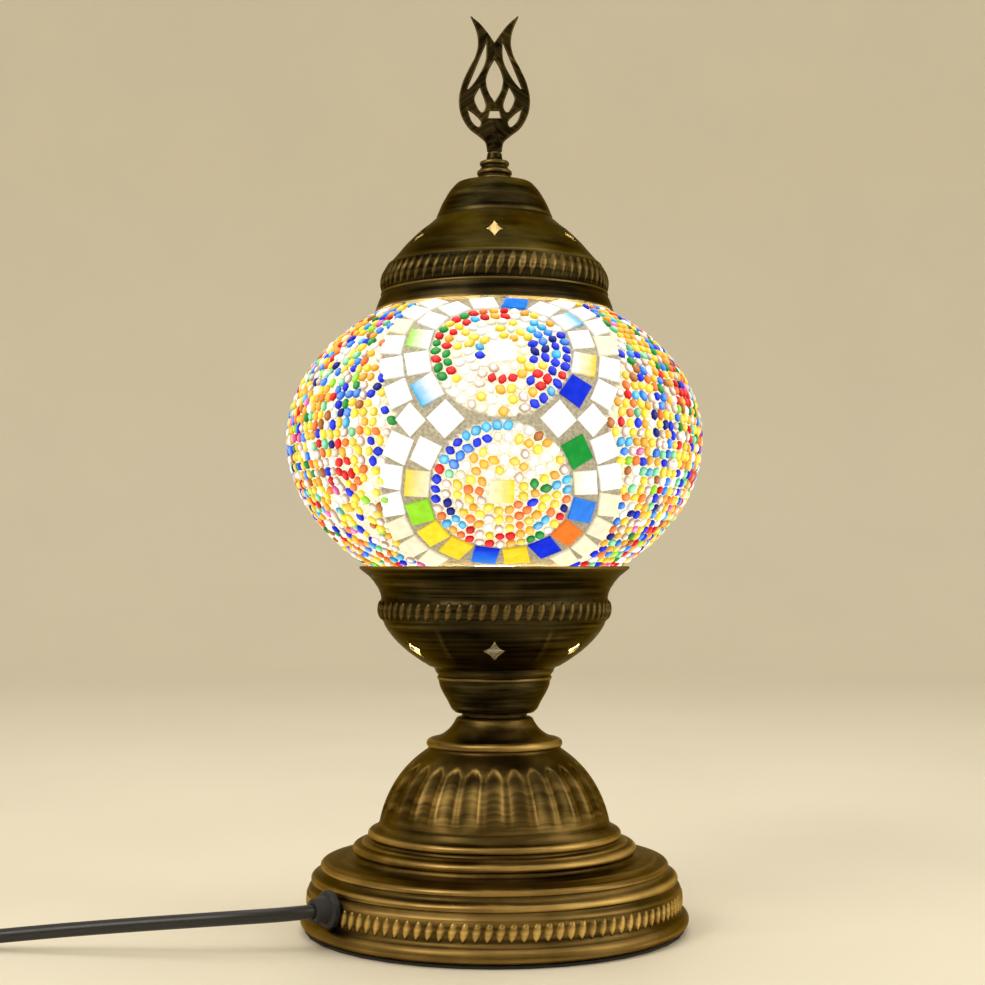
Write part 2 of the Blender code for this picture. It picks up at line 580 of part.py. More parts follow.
def switch_half(name, low, high, cavity_low, cavity_high):
    """Half of the switch's case, hollow, with a half-round channel for the cord at each end."""
    place = moved(SWITCH_X, SWITCH_Y)
    wall = 1.8
    half = prism_object(name, rounded_rectangle(SWITCH_LONG, SWITCH_WIDE, 8.0, 3), low, high, place)
    bevel = half.modifiers.new("Soft edge", "BEVEL")
    bevel.width = 0.8 * MM
    bevel.segments = 1
    bevel.limit_method = "ANGLE"
    bevel.angle_limit = math.radians(60.0)
    cavity_outline = rounded_rectangle(SWITCH_LONG - 2 * wall, SWITCH_WIDE - 2 * wall, 6.4, 3)
    cut(half, prism_object(name + "_cavity_cutter", cavity_outline, cavity_low, cavity_high, place))
    along_x = moved(SWITCH_X, SWITCH_Y, SWITCH_SPLIT_Z) @ Matrix.Rotation(math.radians(90.0), 4, "Y")
    reach = SWITCH_LONG / 2 + 4.0
    cut(half, prism_object(name + "_channel_cutter", polygon(CORD_SLEEVE + 0.1, 12), -reach, reach, along_x))
    return black_plastic(half)


def make_switch():
    place = moved(SWITCH_X, SWITCH_Y)
    split_low = SWITCH_SPLIT_Z - GAP / 2
    split_high = SWITCH_SPLIT_Z + GAP / 2
    bottom = switch_half("switch_case_bottom", 0.2, split_low, 3.2, split_low + 2.0)
    top = switch_half("switch_case_top", split_high, SWITCH_HIGH, split_high - 2.0, SWITCH_HIGH - 1.8)
    window = [(x, y) for x, y in rounded_rectangle(ROCKER_LONG + 2.2, ROCKER_WIDE + 0.8, 0.8, 1)]
    cut(top, prism_object("rocker_window_cutter", window, SWITCH_HIGH - 4.0, SWITCH_HIGH + 2.0, place))

    screw_profile = [(0.0, 6.4), (1.3, 6.4), (1.3, 1.6), (2.6, 1.6), (2.6, 0.9), (2.2, 0.5), (0.0, 0.5)]
    contact_outline = rounded_rectangle(7.0, 4.0, 0.6, 1)
    for side, end in ((1, "lamp_end"), (-1, "plug_end")):
        spot = moved(SWITCH_X + side * 20.0, SWITCH_Y + side * 7.5)
        recess = [(0.0, 4.0), (1.7, 4.0), (1.7, 1.9), (3.0, 1.9), (3.0, -1.0), (0.0, -1.0)]
        hole = turned("screw_hole_cutter_" + end, recess, 16)
        hole.matrix_world = spot
        cut(bottom, hole)
        screw = steel(turned("switch_screw_" + end, screw_profile, 12))
        screw.matrix_world = spot
        contact_place = moved(SWITCH_X + side * 10.0, SWITCH_Y)
        brass(prism_object("switch_contact_" + end, contact_outline, 3.6, 6.6, contact_place))
    make_rocker()


def make_rocker():
    """Rocker, dished on top, pivoting about Y. It rests pressed down on the side away from the lamp."""
    half = ROCKER_LONG / 2
    dish = [(half - i * ROCKER_LONG / 6, 3.6 + 1.3 * abs(1.0 - i / 3.0)) for i in range(7)]
    outline = [(-half + 0.6, -1.4), (-2.6, -3.0), (2.6, -3.0), (half - 0.6, -1.4)] + dish
    builder = bmesh.new()
    upright = Matrix.Rotation(math.radians(90.0), 4, "X")
    prism(builder, outline, -ROCKER_WIDE / 2, ROCKER_WIDE / 2, upright)
    rocker = from_bmesh("switch_rocker", builder)
    rocker.location = (SWITCH_X * MM, SWITCH_Y * MM, ROCKER_PIVOT_Z * MM)
    rocker.rotation_euler = (0.0, -ROCKER_REST, 0.0)
    paint(rocker, (0.03, 0.03, 0.03), 0.0, 0.3)


def make_plug():
    """Flat two-pin plug lying on its side of the coil, its pins pointing back to the lamp."""
    half_high = 6.9
    side = [(0.0, 17.0), (-4.0, 17.6), (-12.0, 15.6), (-22.0, 11.6), (-33.0, 7.6), (-35.0, 6.0)]
    outline = side + [(x, -y) for x, y in reversed(side)]
    builder = bmesh.new()
    place = moved(PLUG_X, PLUG_Y, PLUG_Z)
    prism(builder, outline, -half_high, half_high, place)
    body = from_bmesh("plug_body", builder)
    bevel = body.modifiers.new("Soft edge", "BEVEL")
    bevel.width = 1.2 * MM
    bevel.segments = 2
    bevel.limit_method = "ANGLE"
    bevel.angle_limit = math.radians(50.0)
    black_plastic(body)
    boot = turned("plug_boot", [(0, 9.7), (5.0, 9.7), (4.6, 4.0), (3.6, 0.0), (0, 0.0)])
    boot.matrix_world = moved(PLUG_X - 45.0, PLUG_Y, PLUG_Z) @ Matrix.Rotation(math.radians(90.0), 4, "Y")
    black_plastic(boot)
    along_x = Matrix.Rotation(math.radians(90.0), 4, "Y")
    pin_profile = [(0, 19.0), (1.4, 19.0), (2.0, 18.0), (2.0, GAP), (0, GAP)]
    for name, y in (("plug_pin_left", 9.3), ("plug_pin_right", -9.3)):
        pin = steel(turned(name, pin_profile, 12))
        pin.matrix_world = place @ moved(0.0, y) @ along_x


def main():
    clear_scene()
    make_base()
    make_stem()
    make_cup()
    make_lampholder()
    make_bulb()
    make_globe()
    make_cap()
    make_finial()
    make_grommet()
    make_cord()
    make_coil()
    make_switch()
    make_plug()


main()
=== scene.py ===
from math import asin, atan2, ceil, copysign, cos, degrees, hypot, pi, radians, sin, sqrt, tau
import random

import bmesh
import bpy
import numpy as np
from mathutils import Matrix, Vector
from mathutils.kdtree import KDTree
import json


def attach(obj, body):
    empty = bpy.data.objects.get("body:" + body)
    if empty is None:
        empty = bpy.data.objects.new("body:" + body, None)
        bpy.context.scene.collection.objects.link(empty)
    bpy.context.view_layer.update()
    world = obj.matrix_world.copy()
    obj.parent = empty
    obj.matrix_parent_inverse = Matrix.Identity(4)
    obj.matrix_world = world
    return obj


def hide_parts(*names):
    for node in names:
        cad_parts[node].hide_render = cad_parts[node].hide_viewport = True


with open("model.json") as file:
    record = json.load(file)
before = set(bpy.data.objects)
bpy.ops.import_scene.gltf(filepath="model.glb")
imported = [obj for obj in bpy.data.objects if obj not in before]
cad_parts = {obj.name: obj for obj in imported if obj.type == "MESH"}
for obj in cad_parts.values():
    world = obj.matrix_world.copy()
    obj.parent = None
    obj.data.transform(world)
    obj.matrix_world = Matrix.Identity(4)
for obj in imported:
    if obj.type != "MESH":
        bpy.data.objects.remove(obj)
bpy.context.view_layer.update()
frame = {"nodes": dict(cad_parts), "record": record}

# Mosaic glass table lamp, lit. Lengths below are millimetres and MM turns them into metres.
# The lamp's axis is x = y = 0, Z is up and the front faces -Y.

scene = bpy.context.scene
nodes = frame["nodes"]
MM = 0.001
CORD_RADIUS = 2.75
GROMMET_ANGLE = radians(215)
GROMMET_Z = 15.2


# ---------------------------------------------------------------- camera

camera_data = bpy.data.cameras.new("camera")
camera_data.lens = 63.15
camera_data.sensor_width = 36
camera_data.shift_x = -0.002
camera_data.shift_y = 0.0706
camera_data.clip_start = 0.01
camera = bpy.data.objects.new("camera", camera_data)
camera.location = (0, -0.700, 0.147)
camera.rotation_euler = (radians(90), 0, 0)
scene.collection.objects.link(camera)
scene.camera = camera
scene.view_settings.view_transform = "Standard"


# ---------------------------------------------------------------- materials


def srgb(red, green, blue):
    """Linear colour from 0-255 display values."""
    return tuple(((c / 255 + 0.055) / 1.055) ** 2.4 if c > 10 else c / 3294.6 for c in (red, green, blue))


class Nodes:
    """Short way to write a material's node tree. An input takes a value or another node's output."""

    def __init__(self, name):
        self.material = bpy.data.materials.new(name)
        self.material.use_nodes = True
        self.tree = self.material.node_tree
        self.shader = self.tree.nodes["Principled BSDF"]
        self.place = self.add("ShaderNodeTexCoord").outputs["Object"]

    def feed(self, socket, value):
        if isinstance(value, bpy.types.NodeSocket):
            self.tree.links.new(value, socket)
        else:
            socket.default_value = value

    def add(self, kind, inputs=None, **settings):
        node = self.tree.nodes.new(kind)
        for key, value in settings.items():
            setattr(node, key, value)
        for key, value in (inputs or {}).items():
            self.feed(node.inputs[key], value)
        return node

    def set(self, **values):
        for key, value in values.items():
            self.feed(self.shader.inputs[key.replace("_", " ")], value)

    def stored(self, name):
        """What the mesh holds for each vertex under a name."""
        return self.add("ShaderNodeAttribute", attribute_name=name).outputs

    def math(self, operation, a, b=0.5, clamp=False):
        return self.add("ShaderNodeMath", {0: a, 1: b}, operation=operation, use_clamp=clamp).outputs[0]

    def swing(self, factor, amount):
        """A factor that varies about 0.5, as a push to either side of zero."""
        return self.math("MULTIPLY", self.math("SUBTRACT", factor, 0.5), amount)

    def scale(self, colour, amount):
        return self.add("ShaderNodeVectorMath", {0: colour, "Scale": amount}, operation="SCALE").outputs[0]

    def noise(self, vector, scale, detail=3):
        inputs = {"Vector": vector, "Scale": scale, "Detail": detail}
        return self.add("ShaderNodeTexNoise", inputs).outputs[0]

    def ramp(self, factor, *stops):
        node = self.add("ShaderNodeValToRGB", {"Fac": factor})
        elements = node.color_ramp.elements
        while len(elements) < len(stops):
            elements.new(0.5)
        for element, (place, colour) in zip(elements, stops):
            element.position = place
            element.color = (*colour, 1)
        return node.outputs["Color"]

    def spread(self, factor, low, high):
        """A value between low and high as the factor goes from 0.3 to 0.7."""
        inputs = {"Value": factor, "From Min": 0.3, "From Max": 0.7, "To Min": low, "To Max": high}
        return self.add("ShaderNodeMapRange", inputs).outputs["Result"]

    def bump(self, height, distance, strength):
        inputs = {"Height": height, "Distance": distance, "Strength": strength}
        self.set(Normal=self.add("ShaderNodeBump", inputs).outputs["Normal"])


def turned_vector(n):
    """Coordinates for fine marks that run round the lamp's axis, as a lathe leaves them."""
    x, y, z = n.add("ShaderNodeSeparateXYZ", {0: n.place}).outputs
    radius = n.math("SQRT", n.math("ADD", n.math("MULTIPLY", x, x), n.math("MULTIPLY", y, y)))
    radius = n.math("MAXIMUM", radius, 0.0005)
    along = n.math("MULTIPLY", n.math("ADD", z, n.math("MULTIPLY", radius, 0.7)), 620)
    inputs = {0: n.math("DIVIDE", x, radius), 1: n.math("DIVIDE", y, radius), 2: along}
    return n.add("ShaderNodeCombineXYZ", inputs).outputs[0]


def antique_brass(name, shift, wear_and_light_amount, rough, *stops):
    """Oxidised brass, dark in its hollows and lighter gold on its edges, which is rubbed wear and also a
    painted highlight; on the base the same stored mask also carries painted highlights on the flutes and
    painted shade on the neck.
    """
    n = Nodes(name)
    streaks = n.noise(turned_vector(n), 1, 4)
    clouds = n.noise(n.place, 55, 5)
    mask = n.math("ADD", n.swing(streaks, 1.05), shift)
    mask = n.math("ADD", mask, n.swing(clouds, 0.55))
    # the stored mask: rubbed edges and painted highlights, plus painted shade on the base's neck
    mask = n.math("ADD", mask, n.math("MULTIPLY", n.stored("worn")["Fac"], wear_and_light_amount), clamp=True)
    colour = n.ramp(mask, *[(place, srgb(*shade)) for place, shade in stops])
    n.set(Base_Color=colour, Roughness=n.spread(streaks, *rough), Metallic=1)
    n.set(Specular_Tint=(0.62, 0.53, 0.34, 1))
    n.bump(streaks, 0.00006, 0.5)
    return n.material


def plain(name, colour, metallic, roughness, scale, depth=0, tone=0.12):
    """One colour with a little uneven tone and gloss."""
    n = Nodes(name)
    grain = n.noise(n.place, scale)
    low = tuple(c * (1 - tone) for c in srgb(*colour))
    high = tuple(min(1, c * (1 + tone)) for c in srgb(*colour))
    n.set(Base_Color=n.ramp(grain, (0.3, low), (0.7, high)), Metallic=metallic)
    n.set(Roughness=n.spread(grain, roughness * 0.85, min(1, roughness * 1.15)))
    if depth:
        n.bump(grain, depth, 0.6)
    return n.material


def glowing(name, colour, strength):
    n = Nodes(name)
    grain = n.noise(n.place, 40, 2)
    n.set(Base_Color=n.ramp(grain, (0.3, tuple(c * 0.94 for c in colour)), (0.7, colour)))
    n.set(Roughness=0.3, Emission_Color=(*colour, 1), Emission_Strength=strength)
    return n.material


def lit_glass(name, strength, gloss):
    """Coloured glass glowing as if lit from behind, with painted light and shade on each piece:
    palest and brightest in its middle, darker at its edges. The mesh stores each piece's colour as tint and
    how central each point is, which sets that painted light and shade."""
    n = Nodes(name)
    tint = n.stored("tint")
    core = n.stored("core")["Fac"]
    cloud = n.noise(n.place, 330)
    # painted highlight: the middle of each piece goes pale towards white
    middle = n.math("MULTIPLY", n.math("POWER", core, 2.2), n.spread(cloud, 0.5, 1.3))
    painted_paleness = n.math("MULTIPLY", middle, tint["Alpha"], clamp=True)
    mixed = n.add("ShaderNodeMix", data_type="RGBA")
    for socket, value in zip((0, 6, 7), (painted_paleness, tint["Color"], (1, 0.98, 0.9, 1))):
        n.feed(mixed.inputs[socket], value)
    # painted brightness: brightest in each piece's middle, darker at its edges, with a little random tone
    light = n.math("ADD", n.math("MULTIPLY", core, 0.72), n.spread(cloud, 0.3, 0.5))
    n.set(Emission_Color=n.scale(mixed.outputs[2], light), Base_Color=n.scale(tint["Color"], 0.2))
    n.set(Emission_Strength=strength, Roughness=gloss, IOR=1.5, Specular_IOR_Level=0.16)
    n.material.cycles.emission_sampling = "NONE"
    return n.material


def clear_glass(name):
    n = Nodes(name)
    haze = n.noise(n.place, 90, 2)
    n.set(Roughness=n.spread(haze, 0.05, 0.12), Transmission_Weight=1, IOR=1.46)
    n.set(Base_Color=(0.97, 0.96, 0.92, 1))
    return n.material


# Plain materials: display colour, metallic, roughness, then the grain's scale, depth in metres and tone
PLAIN_LOOKS = {
    "cord_pvc": ((24, 24, 25), 0, 0.36, 900, 0.00003),
    "black_plastic": ((27, 27, 28), 0, 0.4, 1500, 0.00002),
    "black_rubber": ((30, 30, 31), 0, 0.62, 700, 0.00003),
    "raw_brass": ((230, 214, 172), 0.1, 0.55, 200),
    "tie_fabric": ((34, 34, 36), 0, 0.92, 2600, 0.0002, 0.4),
    "plug_pin": ((214, 210, 198), 1, 0.24, 400),
    "zinc_steel": ((176, 176, 168), 1, 0.34, 350),
    "contact_brass": ((206, 166, 88), 1, 0.28, 400),
    "pad_foam": ((38, 37, 36), 0, 0.95, 1400, 0.0003, 0.3),
    "holder_plastic": ((16, 15, 14), 0, 0.5, 600, 0.00003),
    "wire_live": ((122, 72, 36), 0, 0.45, 900),
    "wire_neutral": ((40, 92, 170), 0, 0.45, 900),
    "insulator_ceramic": ((226, 220, 204), 0, 0.3, 250),
    "bulb_insulator_glass": ((22, 22, 24), 0, 0.12, 300),
}
# Looks by the names of their slots. raw_brass has no slot: it is the inside of the cup and the cap.
LOOKS = {name: plain(name, *look) for name, look in PLAIN_LOOKS.items()}
LOOKS["switch_plastic"] = LOOKS["black_plastic"]
LOOKS["grommet_rubber"] = LOOKS["black_rubber"]
LOOKS["bulb_opal"] = glowing("bulb_opal", (1, 0.90, 0.70), 60)
LOOKS["led_board"] = glowing("led_board", (1, 0.95, 0.86), 4)
LOOKS["globe_glass"] = clear_glass("globe_glass")
GOLDEN = [(0, (22, 18, 8)), (0.3, (84, 68, 34)), (0.6, (138, 112, 62)), (1, (218, 184, 108))]
BROWN = [(0, (22, 19, 10)), (0.3, (64, 55, 31)), (0.65, (116, 97, 56)), (1, (196, 164, 98))]
LOOKS["antique_brass"] = antique_brass("antique_brass_base", 0.3, 0.7, (0.3, 0.5), *GOLDEN)
LOOKS["dark_brass"] = antique_brass("antique_brass_dark", 0.16, 0.5, (0.32, 0.48), *BROWN)


# ---------------------------------------------------------------- mesh helpers


def link(name, data):
    obj = bpy.data.objects.new(name, data)
    scene.collection.objects.link(obj)
    return obj


def sharpen(obj, limit):
    obj.data.set_sharp_from_angle(angle=radians(limit))
    return obj


class Soup:
    """Collects the surfaces of one piece, in mm, with values for each vertex."""

    def __init__(self):
        self.points, self.faces, self.values = [], [], {}
        self.count = 0

    def add(self, points, faces, **values):
        points = np.asarray(points, float).reshape(-1, 3)
        self.points.append(points)
        self.faces += [[index + self.count for index in face] for face in faces]
        for name, value in values.items():
            value = np.asarray(value, float)
            self.values.setdefault(name, []).append(value.reshape(len(points), -1))
        self.count += len(points)

    def grid(self, points, wrap_rows=False, wrap_columns=False, **values):
        """Rows by columns of points. Faces look to the side where rows go down and columns go right."""
        rows, columns = points.shape[:2]
        last_row = rows if wrap_rows else rows - 1
        last_column = columns if wrap_columns else columns - 1
        faces = []
        for i in range(last_row):
            low, high = i * columns, ((i + 1) % rows) * columns
            for j in range(last_column):
                k = (j + 1) % columns
                faces.append((low + j, high + j, high + k, low + k))
        self.add(points, faces, **values)

    def build(self, name, material=None, sharp=None):
        """Make the object. Edges sharper than so many degrees stay sharp."""
        mesh = bpy.data.meshes.new(name)
        mesh.from_pydata((np.concatenate(self.points) * MM).tolist(), [], self.faces)
        for key, value in self.values.items():
            value = np.concatenate(value).astype(np.float32)
            kind, field = ("FLOAT", "value") if value.shape[1] == 1 else ("FLOAT_COLOR", "color")
            mesh.attributes.new(key, kind, "POINT").data.foreach_set(field, value.ravel())
        mesh.shade_smooth()
        if material:
            mesh.materials.append(material)
        obj = link(name, mesh)
        return sharpen(obj, sharp) if sharp else obj


def arc(centre, radius, start, end, steps=8):
    angles = np.radians(np.linspace(start, end, steps + 1))
    return [(centre[0] + radius * cos(a), centre[1] + radius * sin(a)) for a in angles]


def oval(radius, height, centre_z, z_from, z_to, steps):
    start = asin((z_from - centre_z) / height)
    end = asin((z_to - centre_z) / height)
    return [(radius * cos(a), centre_z + height * sin(a)) for a in np.linspace(start, end, steps + 1)]


def catmull(route, spacing):
    """Points along a Catmull-Rom curve through a route, in mm, the last one included."""
    knots = [np.array(p, float) for p in route]
    knots = [2 * knots[0] - knots[1]] + knots + [2 * knots[-1] - knots[-2]]
    points = []
    for i in range(1, len(knots) - 2):
        before, start, end, after = knots[i - 1 : i + 3]
        steps = max(1, round(float(np.linalg.norm(end - start)) / spacing))
        for step in range(steps):
            t = step / steps
            bend = 2 * before - 5 * start + 4 * end - after
            twist = 3 * start - before - 3 * end + after
            points.append(0.5 * (2 * start + (end - before) * t + bend * t * t + twist * t**3))
    points.append(knots[-2])
    return [tuple(p) for p in points]


def portion(value):
    """Held between 0 and 1."""
    return np.clip(value, 0, 1)


def edge_wear_and_highlight(profile, closed=True):
    """How far each point of a profile stands out from its neighbours, from 0 to 1. It paints convex edges
    lighter: rubbed wear and a painted highlight.
    """
    points = np.array(profile, float)
    if closed:
        points = np.vstack([points, points[:1]])
    steps = np.linalg.norm(np.diff(points, axis=0), axis=1)
    travel = np.concatenate([[0], np.cumsum(steps)])
    total = np.zeros(len(points))
    for reach, share in ((0.7, 3), (1.6, 1.5)):
        before = np.column_stack([np.interp(travel - reach, travel, points[:, k]) for k in (0, 1)])
        after = np.column_stack([np.interp(travel + reach, travel, points[:, k]) for k in (0, 1)])
        chord = after - before
        length = np.maximum(np.linalg.norm(chord, axis=1), 1e-6)
        outward = np.column_stack([-chord[:, 1], chord[:, 0]]) / length[:, None]
        proud = ((points - (before + after) / 2) * outward).sum(axis=1) / reach
        total = np.maximum(total, portion(proud * share) ** 1.5)
    return total[: len(profile)]


def lathe(soup, profile, columns, shape=None, closed=True, edge_amount=1):
    """Turn a profile about Z. shape(angle, radius, z) gives (push outward in mm, extra to the mask of wear,
    painted highlights and painted shade).
    """
    points = np.array(profile, float)
    angles = np.arange(columns) * tau / columns
    radius = np.repeat(points[:, :1], columns, axis=1)
    height = np.repeat(points[:, 1:], columns, axis=1)
    turn = np.repeat(angles[None, :], len(points), axis=0)
    worn = np.repeat((edge_wear_and_highlight(profile, closed) * edge_amount)[:, None], columns, axis=1)
    if shape:
        push, extra = shape(turn, radius, height)
        radius = radius + push
        worn = portion(worn + extra)
    grid = np.stack([radius * np.cos(turn), radius * np.sin(turn), height], axis=-1)
    soup.grid(grid, wrap_rows=closed, wrap_columns=True, worn=worn)


def ridges(soup, side, count, low, high, lean, fill, proud, foot):
    """Band of embossed leaf-shaped ridges: side is the wall's (radius, z) points, lean is in pitches,
    fill is the ridge's share of a pitch and foot sharpens its lower end."""
    wall = np.array(sorted(side, key=lambda p: p[1]), float)
    pitch = tau / count
    along = np.linspace(-1, 1, 13)
    across = np.linspace(-1, 1, 7)
    rounded = portion(1 - along**2)
    width = np.where(along > 0, np.sqrt(rounded), portion(1 - np.abs(along) ** foot))
    swell = rounded**0.4
    z = (low + high) / 2 + along * (high - low) / 2
    wall_radius = np.interp(z, wall[:, 1], wall[:, 0])
    crest = 1 - across**2
    lift = proud * swell[:, None] * crest[None, :] ** 0.7 - 0.12
    # crests lighter than their sides: rubbed wear and a painted highlight
    worn = 0.1 + 0.85 * swell[:, None] * crest[None, :]
    for i in range(count):
        angle = pitch * (i + lean * along[:, None] + 0.5 * fill * width[:, None] * across[None, :])
        radius = wall_radius[:, None] + lift
        points = np.stack([radius * np.cos(angle), radius * np.sin(angle), z[:, None] + 0 * angle], axis=-1)
        soup.grid(points[::-1], worn=worn[::-1] * random.uniform(0.75, 1))


def apply_modifiers(obj):
    """Keep the object's shape as its modifiers leave it."""
    graph = bpy.context.evaluated_depsgraph_get()
    mesh = bpy.data.meshes.new_from_object(obj.evaluated_get(graph))
    obj.modifiers.clear()
    obj.data = mesh
    return obj


def cut(obj, *cutters):
    for cutter in cutters:
        boolean = obj.modifiers.new("Cut", "BOOLEAN")
        boolean.operation = "DIFFERENCE"
        boolean.solver = "EXACT"
        boolean.object = cutter
    apply_modifiers(obj)
    for cutter in cutters:
        bpy.data.objects.remove(cutter, do_unlink=True)
    return obj


def from_bmesh(name, builder):
    bmesh.ops.recalc_face_normals(builder, faces=builder.faces)
    mesh = bpy.data.meshes.new(name)
    builder.to_mesh(mesh)
    builder.free()
    return link(name, mesh)


def prism_mesh(name, outline, low, high, place):
    builder = bmesh.new()
    prism(builder, outline, [(low, 1), (high, 1)], place)
    return from_bmesh(name, builder)


def prism(builder, outline, levels, place):
    """Closed solid with one outline, scaled for each (height, scale) level."""
    rings = []
    for z, scale in levels:
        points = [place @ Vector((x * scale * MM, y * scale * MM, z * MM)) for x, y in outline]
        rings.append([builder.verts.new(point) for point in points])
    builder.faces.new(reversed(rings[0]))
    builder.faces.new(rings[-1])
    count = len(outline)
    for lower, upper in zip(rings, rings[1:]):
        for i in range(count):
            j = (i + 1) % count
            builder.faces.new((lower[i], lower[j], upper[j], upper[i]))


def rounded_rectangle(length, width, corner, steps=8):
    outline = []
    for quarter, (sx, sy) in enumerate(((1, 1), (-1, 1), (-1, -1), (1, -1))):
        centre = (sx * (length / 2 - corner), sy * (width / 2 - corner))
        outline += arc(centre, corner, 90 * quarter, 90 * quarter + 90, steps)
    return outline


def moved(x, y, z=0):
    return Matrix.Translation((x * MM, y * MM, z * MM))


CASE_SHARP = 38


def soften(obj, width, segments, angle):
    bevel = obj.modifiers.new("Soft edge", "BEVEL")
    bevel.width = width * MM
    bevel.segments = segments
    bevel.limit_method = "ANGLE"
    bevel.angle_limit = radians(angle)
    apply_modifiers(obj)
    obj.data.shade_smooth()
    return sharpen(obj, CASE_SHARP)


def finish_piece(obj, body, slot, *replaced):
    """Give a piece its body and, if it has no look yet, its slot's look, and hide the CAD parts it stands
    for.
    """
    if not obj.data.materials:
        obj.data.materials.append(LOOKS[slot])
    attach(obj, body)
    if replaced:
        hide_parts(*replaced)
    return obj


# ---------------------------------------------------------------- cord and its route


def along_grommet(distance, z=GROMMET_Z):
    return (distance * cos(GROMMET_ANGLE), distance * sin(GROMMET_ANGLE), z)


COIL_X, COIL_Y, COIL_TURNS = -372, -6, 7.5
# Where each turn lies in the coil, as (radius, z), and when the cord moves on to the next, in turns
COIL_SLOTS = [(37.3, 3.4), (31.7, 3.4), (26.1, 3.4), (26.1, 9), (26.1, 14.6)]
COIL_SLOTS += [(31.7, 14.6), (31.7, 9), (37.3, 9), (37.3, 14.6)]
COIL_MOVES = [(0.755, 1), (1.755, 2), (2.55, 2.755), (3.55, 3.755), (4.305, 4.55), (5.15, 5.305)]
COIL_MOVES += [(5.97, 6.15), (6.76, 6.97)]


def coil_point(turn):
    radius, z = COIL_SLOTS[0]
    for (start, end), slot in zip(COIL_MOVES, COIL_SLOTS[1:]):
        part = min(1, max(0, (turn - start) / (end - start)))
        part = (1 - cos(pi * part)) / 2
        radius += (slot[0] - radius) * part
        z += (slot[1] - z) * part
    angle = radians(-90 - 360 * turn)
    return (COIL_X + radius * cos(angle), COIL_Y + radius * sin(angle), z)


def cord_route():
    lead = [along_grommet(75.1), along_grommet(88), (-82.6, -54, 14.9), (-98, -55.2, 14.1)]
    lead += [(-130, -52.4, 11.4), (-160, -48.6, 8.4), (-185, -45.6, 5.6), (-205, -44, 3.4)]
    lead += [(-222, -43.2, 2.9), (-240, -43, 4.4), (-254, -43, 7), (-264.5, -43, 7.4)]
    middle = [(-323.5, -43, 7.4), (-332, -43, 6.6), (-341, -43.1, 4.9), (-350.4, -43.2, 4.1)]
    steps = int(COIL_TURNS * 48)
    coil = [coil_point(COIL_TURNS * i / steps) for i in range(steps + 1)]
    tail = [(-350, 31.4, 14.4), (-340, 32.2, 12.6), (-328, 33.3, 9.2), (-319, 33.9, 7.5), (-312.5, 34, 7.2)]
    entry = catmull(lead + [(-282, -43, 5.9), (-306, -43, 5.9)] + middle + [coil[0]], 5)
    leave = catmull([coil[-1], (-361, 31.5, 14.7)] + tail, 3)
    return entry[:-1] + coil + leave[1:]


def poly_spline(curve, points):
    """Add a spline of straight steps through points in mm."""
    spline = curve.splines.new("POLY")
    spline.points.add(len(points) - 1)
    for knot, point in zip(spline.points, points):
        knot.co = (*[c * MM for c in point], 1)
    return spline


def make_cord():
    curve = bpy.data.curves.new("cord", "CURVE")
    curve.dimensions = "3D"
    curve.bevel_depth = CORD_RADIUS * MM
    curve.bevel_resolution = 4
    curve.use_fill_caps = True
    poly_spline(curve, cord_route()).use_smooth = True
    stood_for = ("cord_lead", "cord_middle", "cord_end", "cord_coil")
    return finish_piece(link("cord", curve), "root", "cord_pvc", *stood_for)


def axis_frame(direction, origin):
    frame_matrix = Vector(direction).to_track_quat("Z", "Y").to_matrix().to_4x4()
    frame_matrix.translation = Vector(origin) * MM
    return frame_matrix


def turned_piece(name, profile, place, columns=48):
    soup = Soup()
    lathe(soup, [(max(r, 0.01), z) for r, z in profile], columns, edge_amount=0)
    obj = soup.build(name)
    obj.data.transform(place)
    return sharpen(obj, 40)


def make_grommet():
    hub = [(2.9, 84)] + arc((4, 83.4), 0.6, 90, 20, 4) + [(4.9, 81.4), (5.2, 79.6), (5.4, 78.8)]
    flange = [(6.3, 78.5)] + arc((6.5, 77.7), 0.7, 80, 0, 4) + arc((6.5, 76.2), 0.7, 0, -80, 4)
    rest = [(4.3, 75.4), (4.3, 69.3), (6, 69.3), (6, 68), (5, 67.2), (2.9, 67.2)]
    place = axis_frame((cos(GROMMET_ANGLE), sin(GROMMET_ANGLE), 0), (0, 0, GROMMET_Z))
    grommet = turned_piece("grommet", hub + flange + rest, place)
    finish_piece(grommet, "root", "grommet_rubber", "cord_grommet")


SWITCH_X, SWITCH_Y, SWITCH_SPLIT_Z, SWITCH_HIGH = -294, -43, 7.4, 15.6


def switch_half(name, low, high, cavity, window=None):
    place = moved(SWITCH_X, SWITCH_Y)
    half = prism_mesh(name, rounded_rectangle(62, 27, 8), low, high, place)
    soften(half, 1.3 if window else 0.8, 4, 60)
    cutters = [prism_mesh("cavity", rounded_rectangle(58.4, 23.4, 6.4), *cavity, place)]
    along_x = moved(SWITCH_X, SWITCH_Y, SWITCH_SPLIT_Z) @ Matrix.Rotation(radians(90), 4, "Y")
    channel = [(3.15 * cos(a), 3.15 * sin(a)) for a in np.linspace(0, 2 * pi, 25)[:-1]]
    cutters.append(prism_mesh("channel", channel, -35, 35, along_x))
    if window:
        cutters.append(prism_mesh("window", rounded_rectangle(19.4, 11.2, 1, 4), *window, place))
    cut(half, *cutters)
    sharpen(half, CASE_SHARP)
    return finish_piece(half, "root", "switch_plastic", name.replace("_shape", ""))


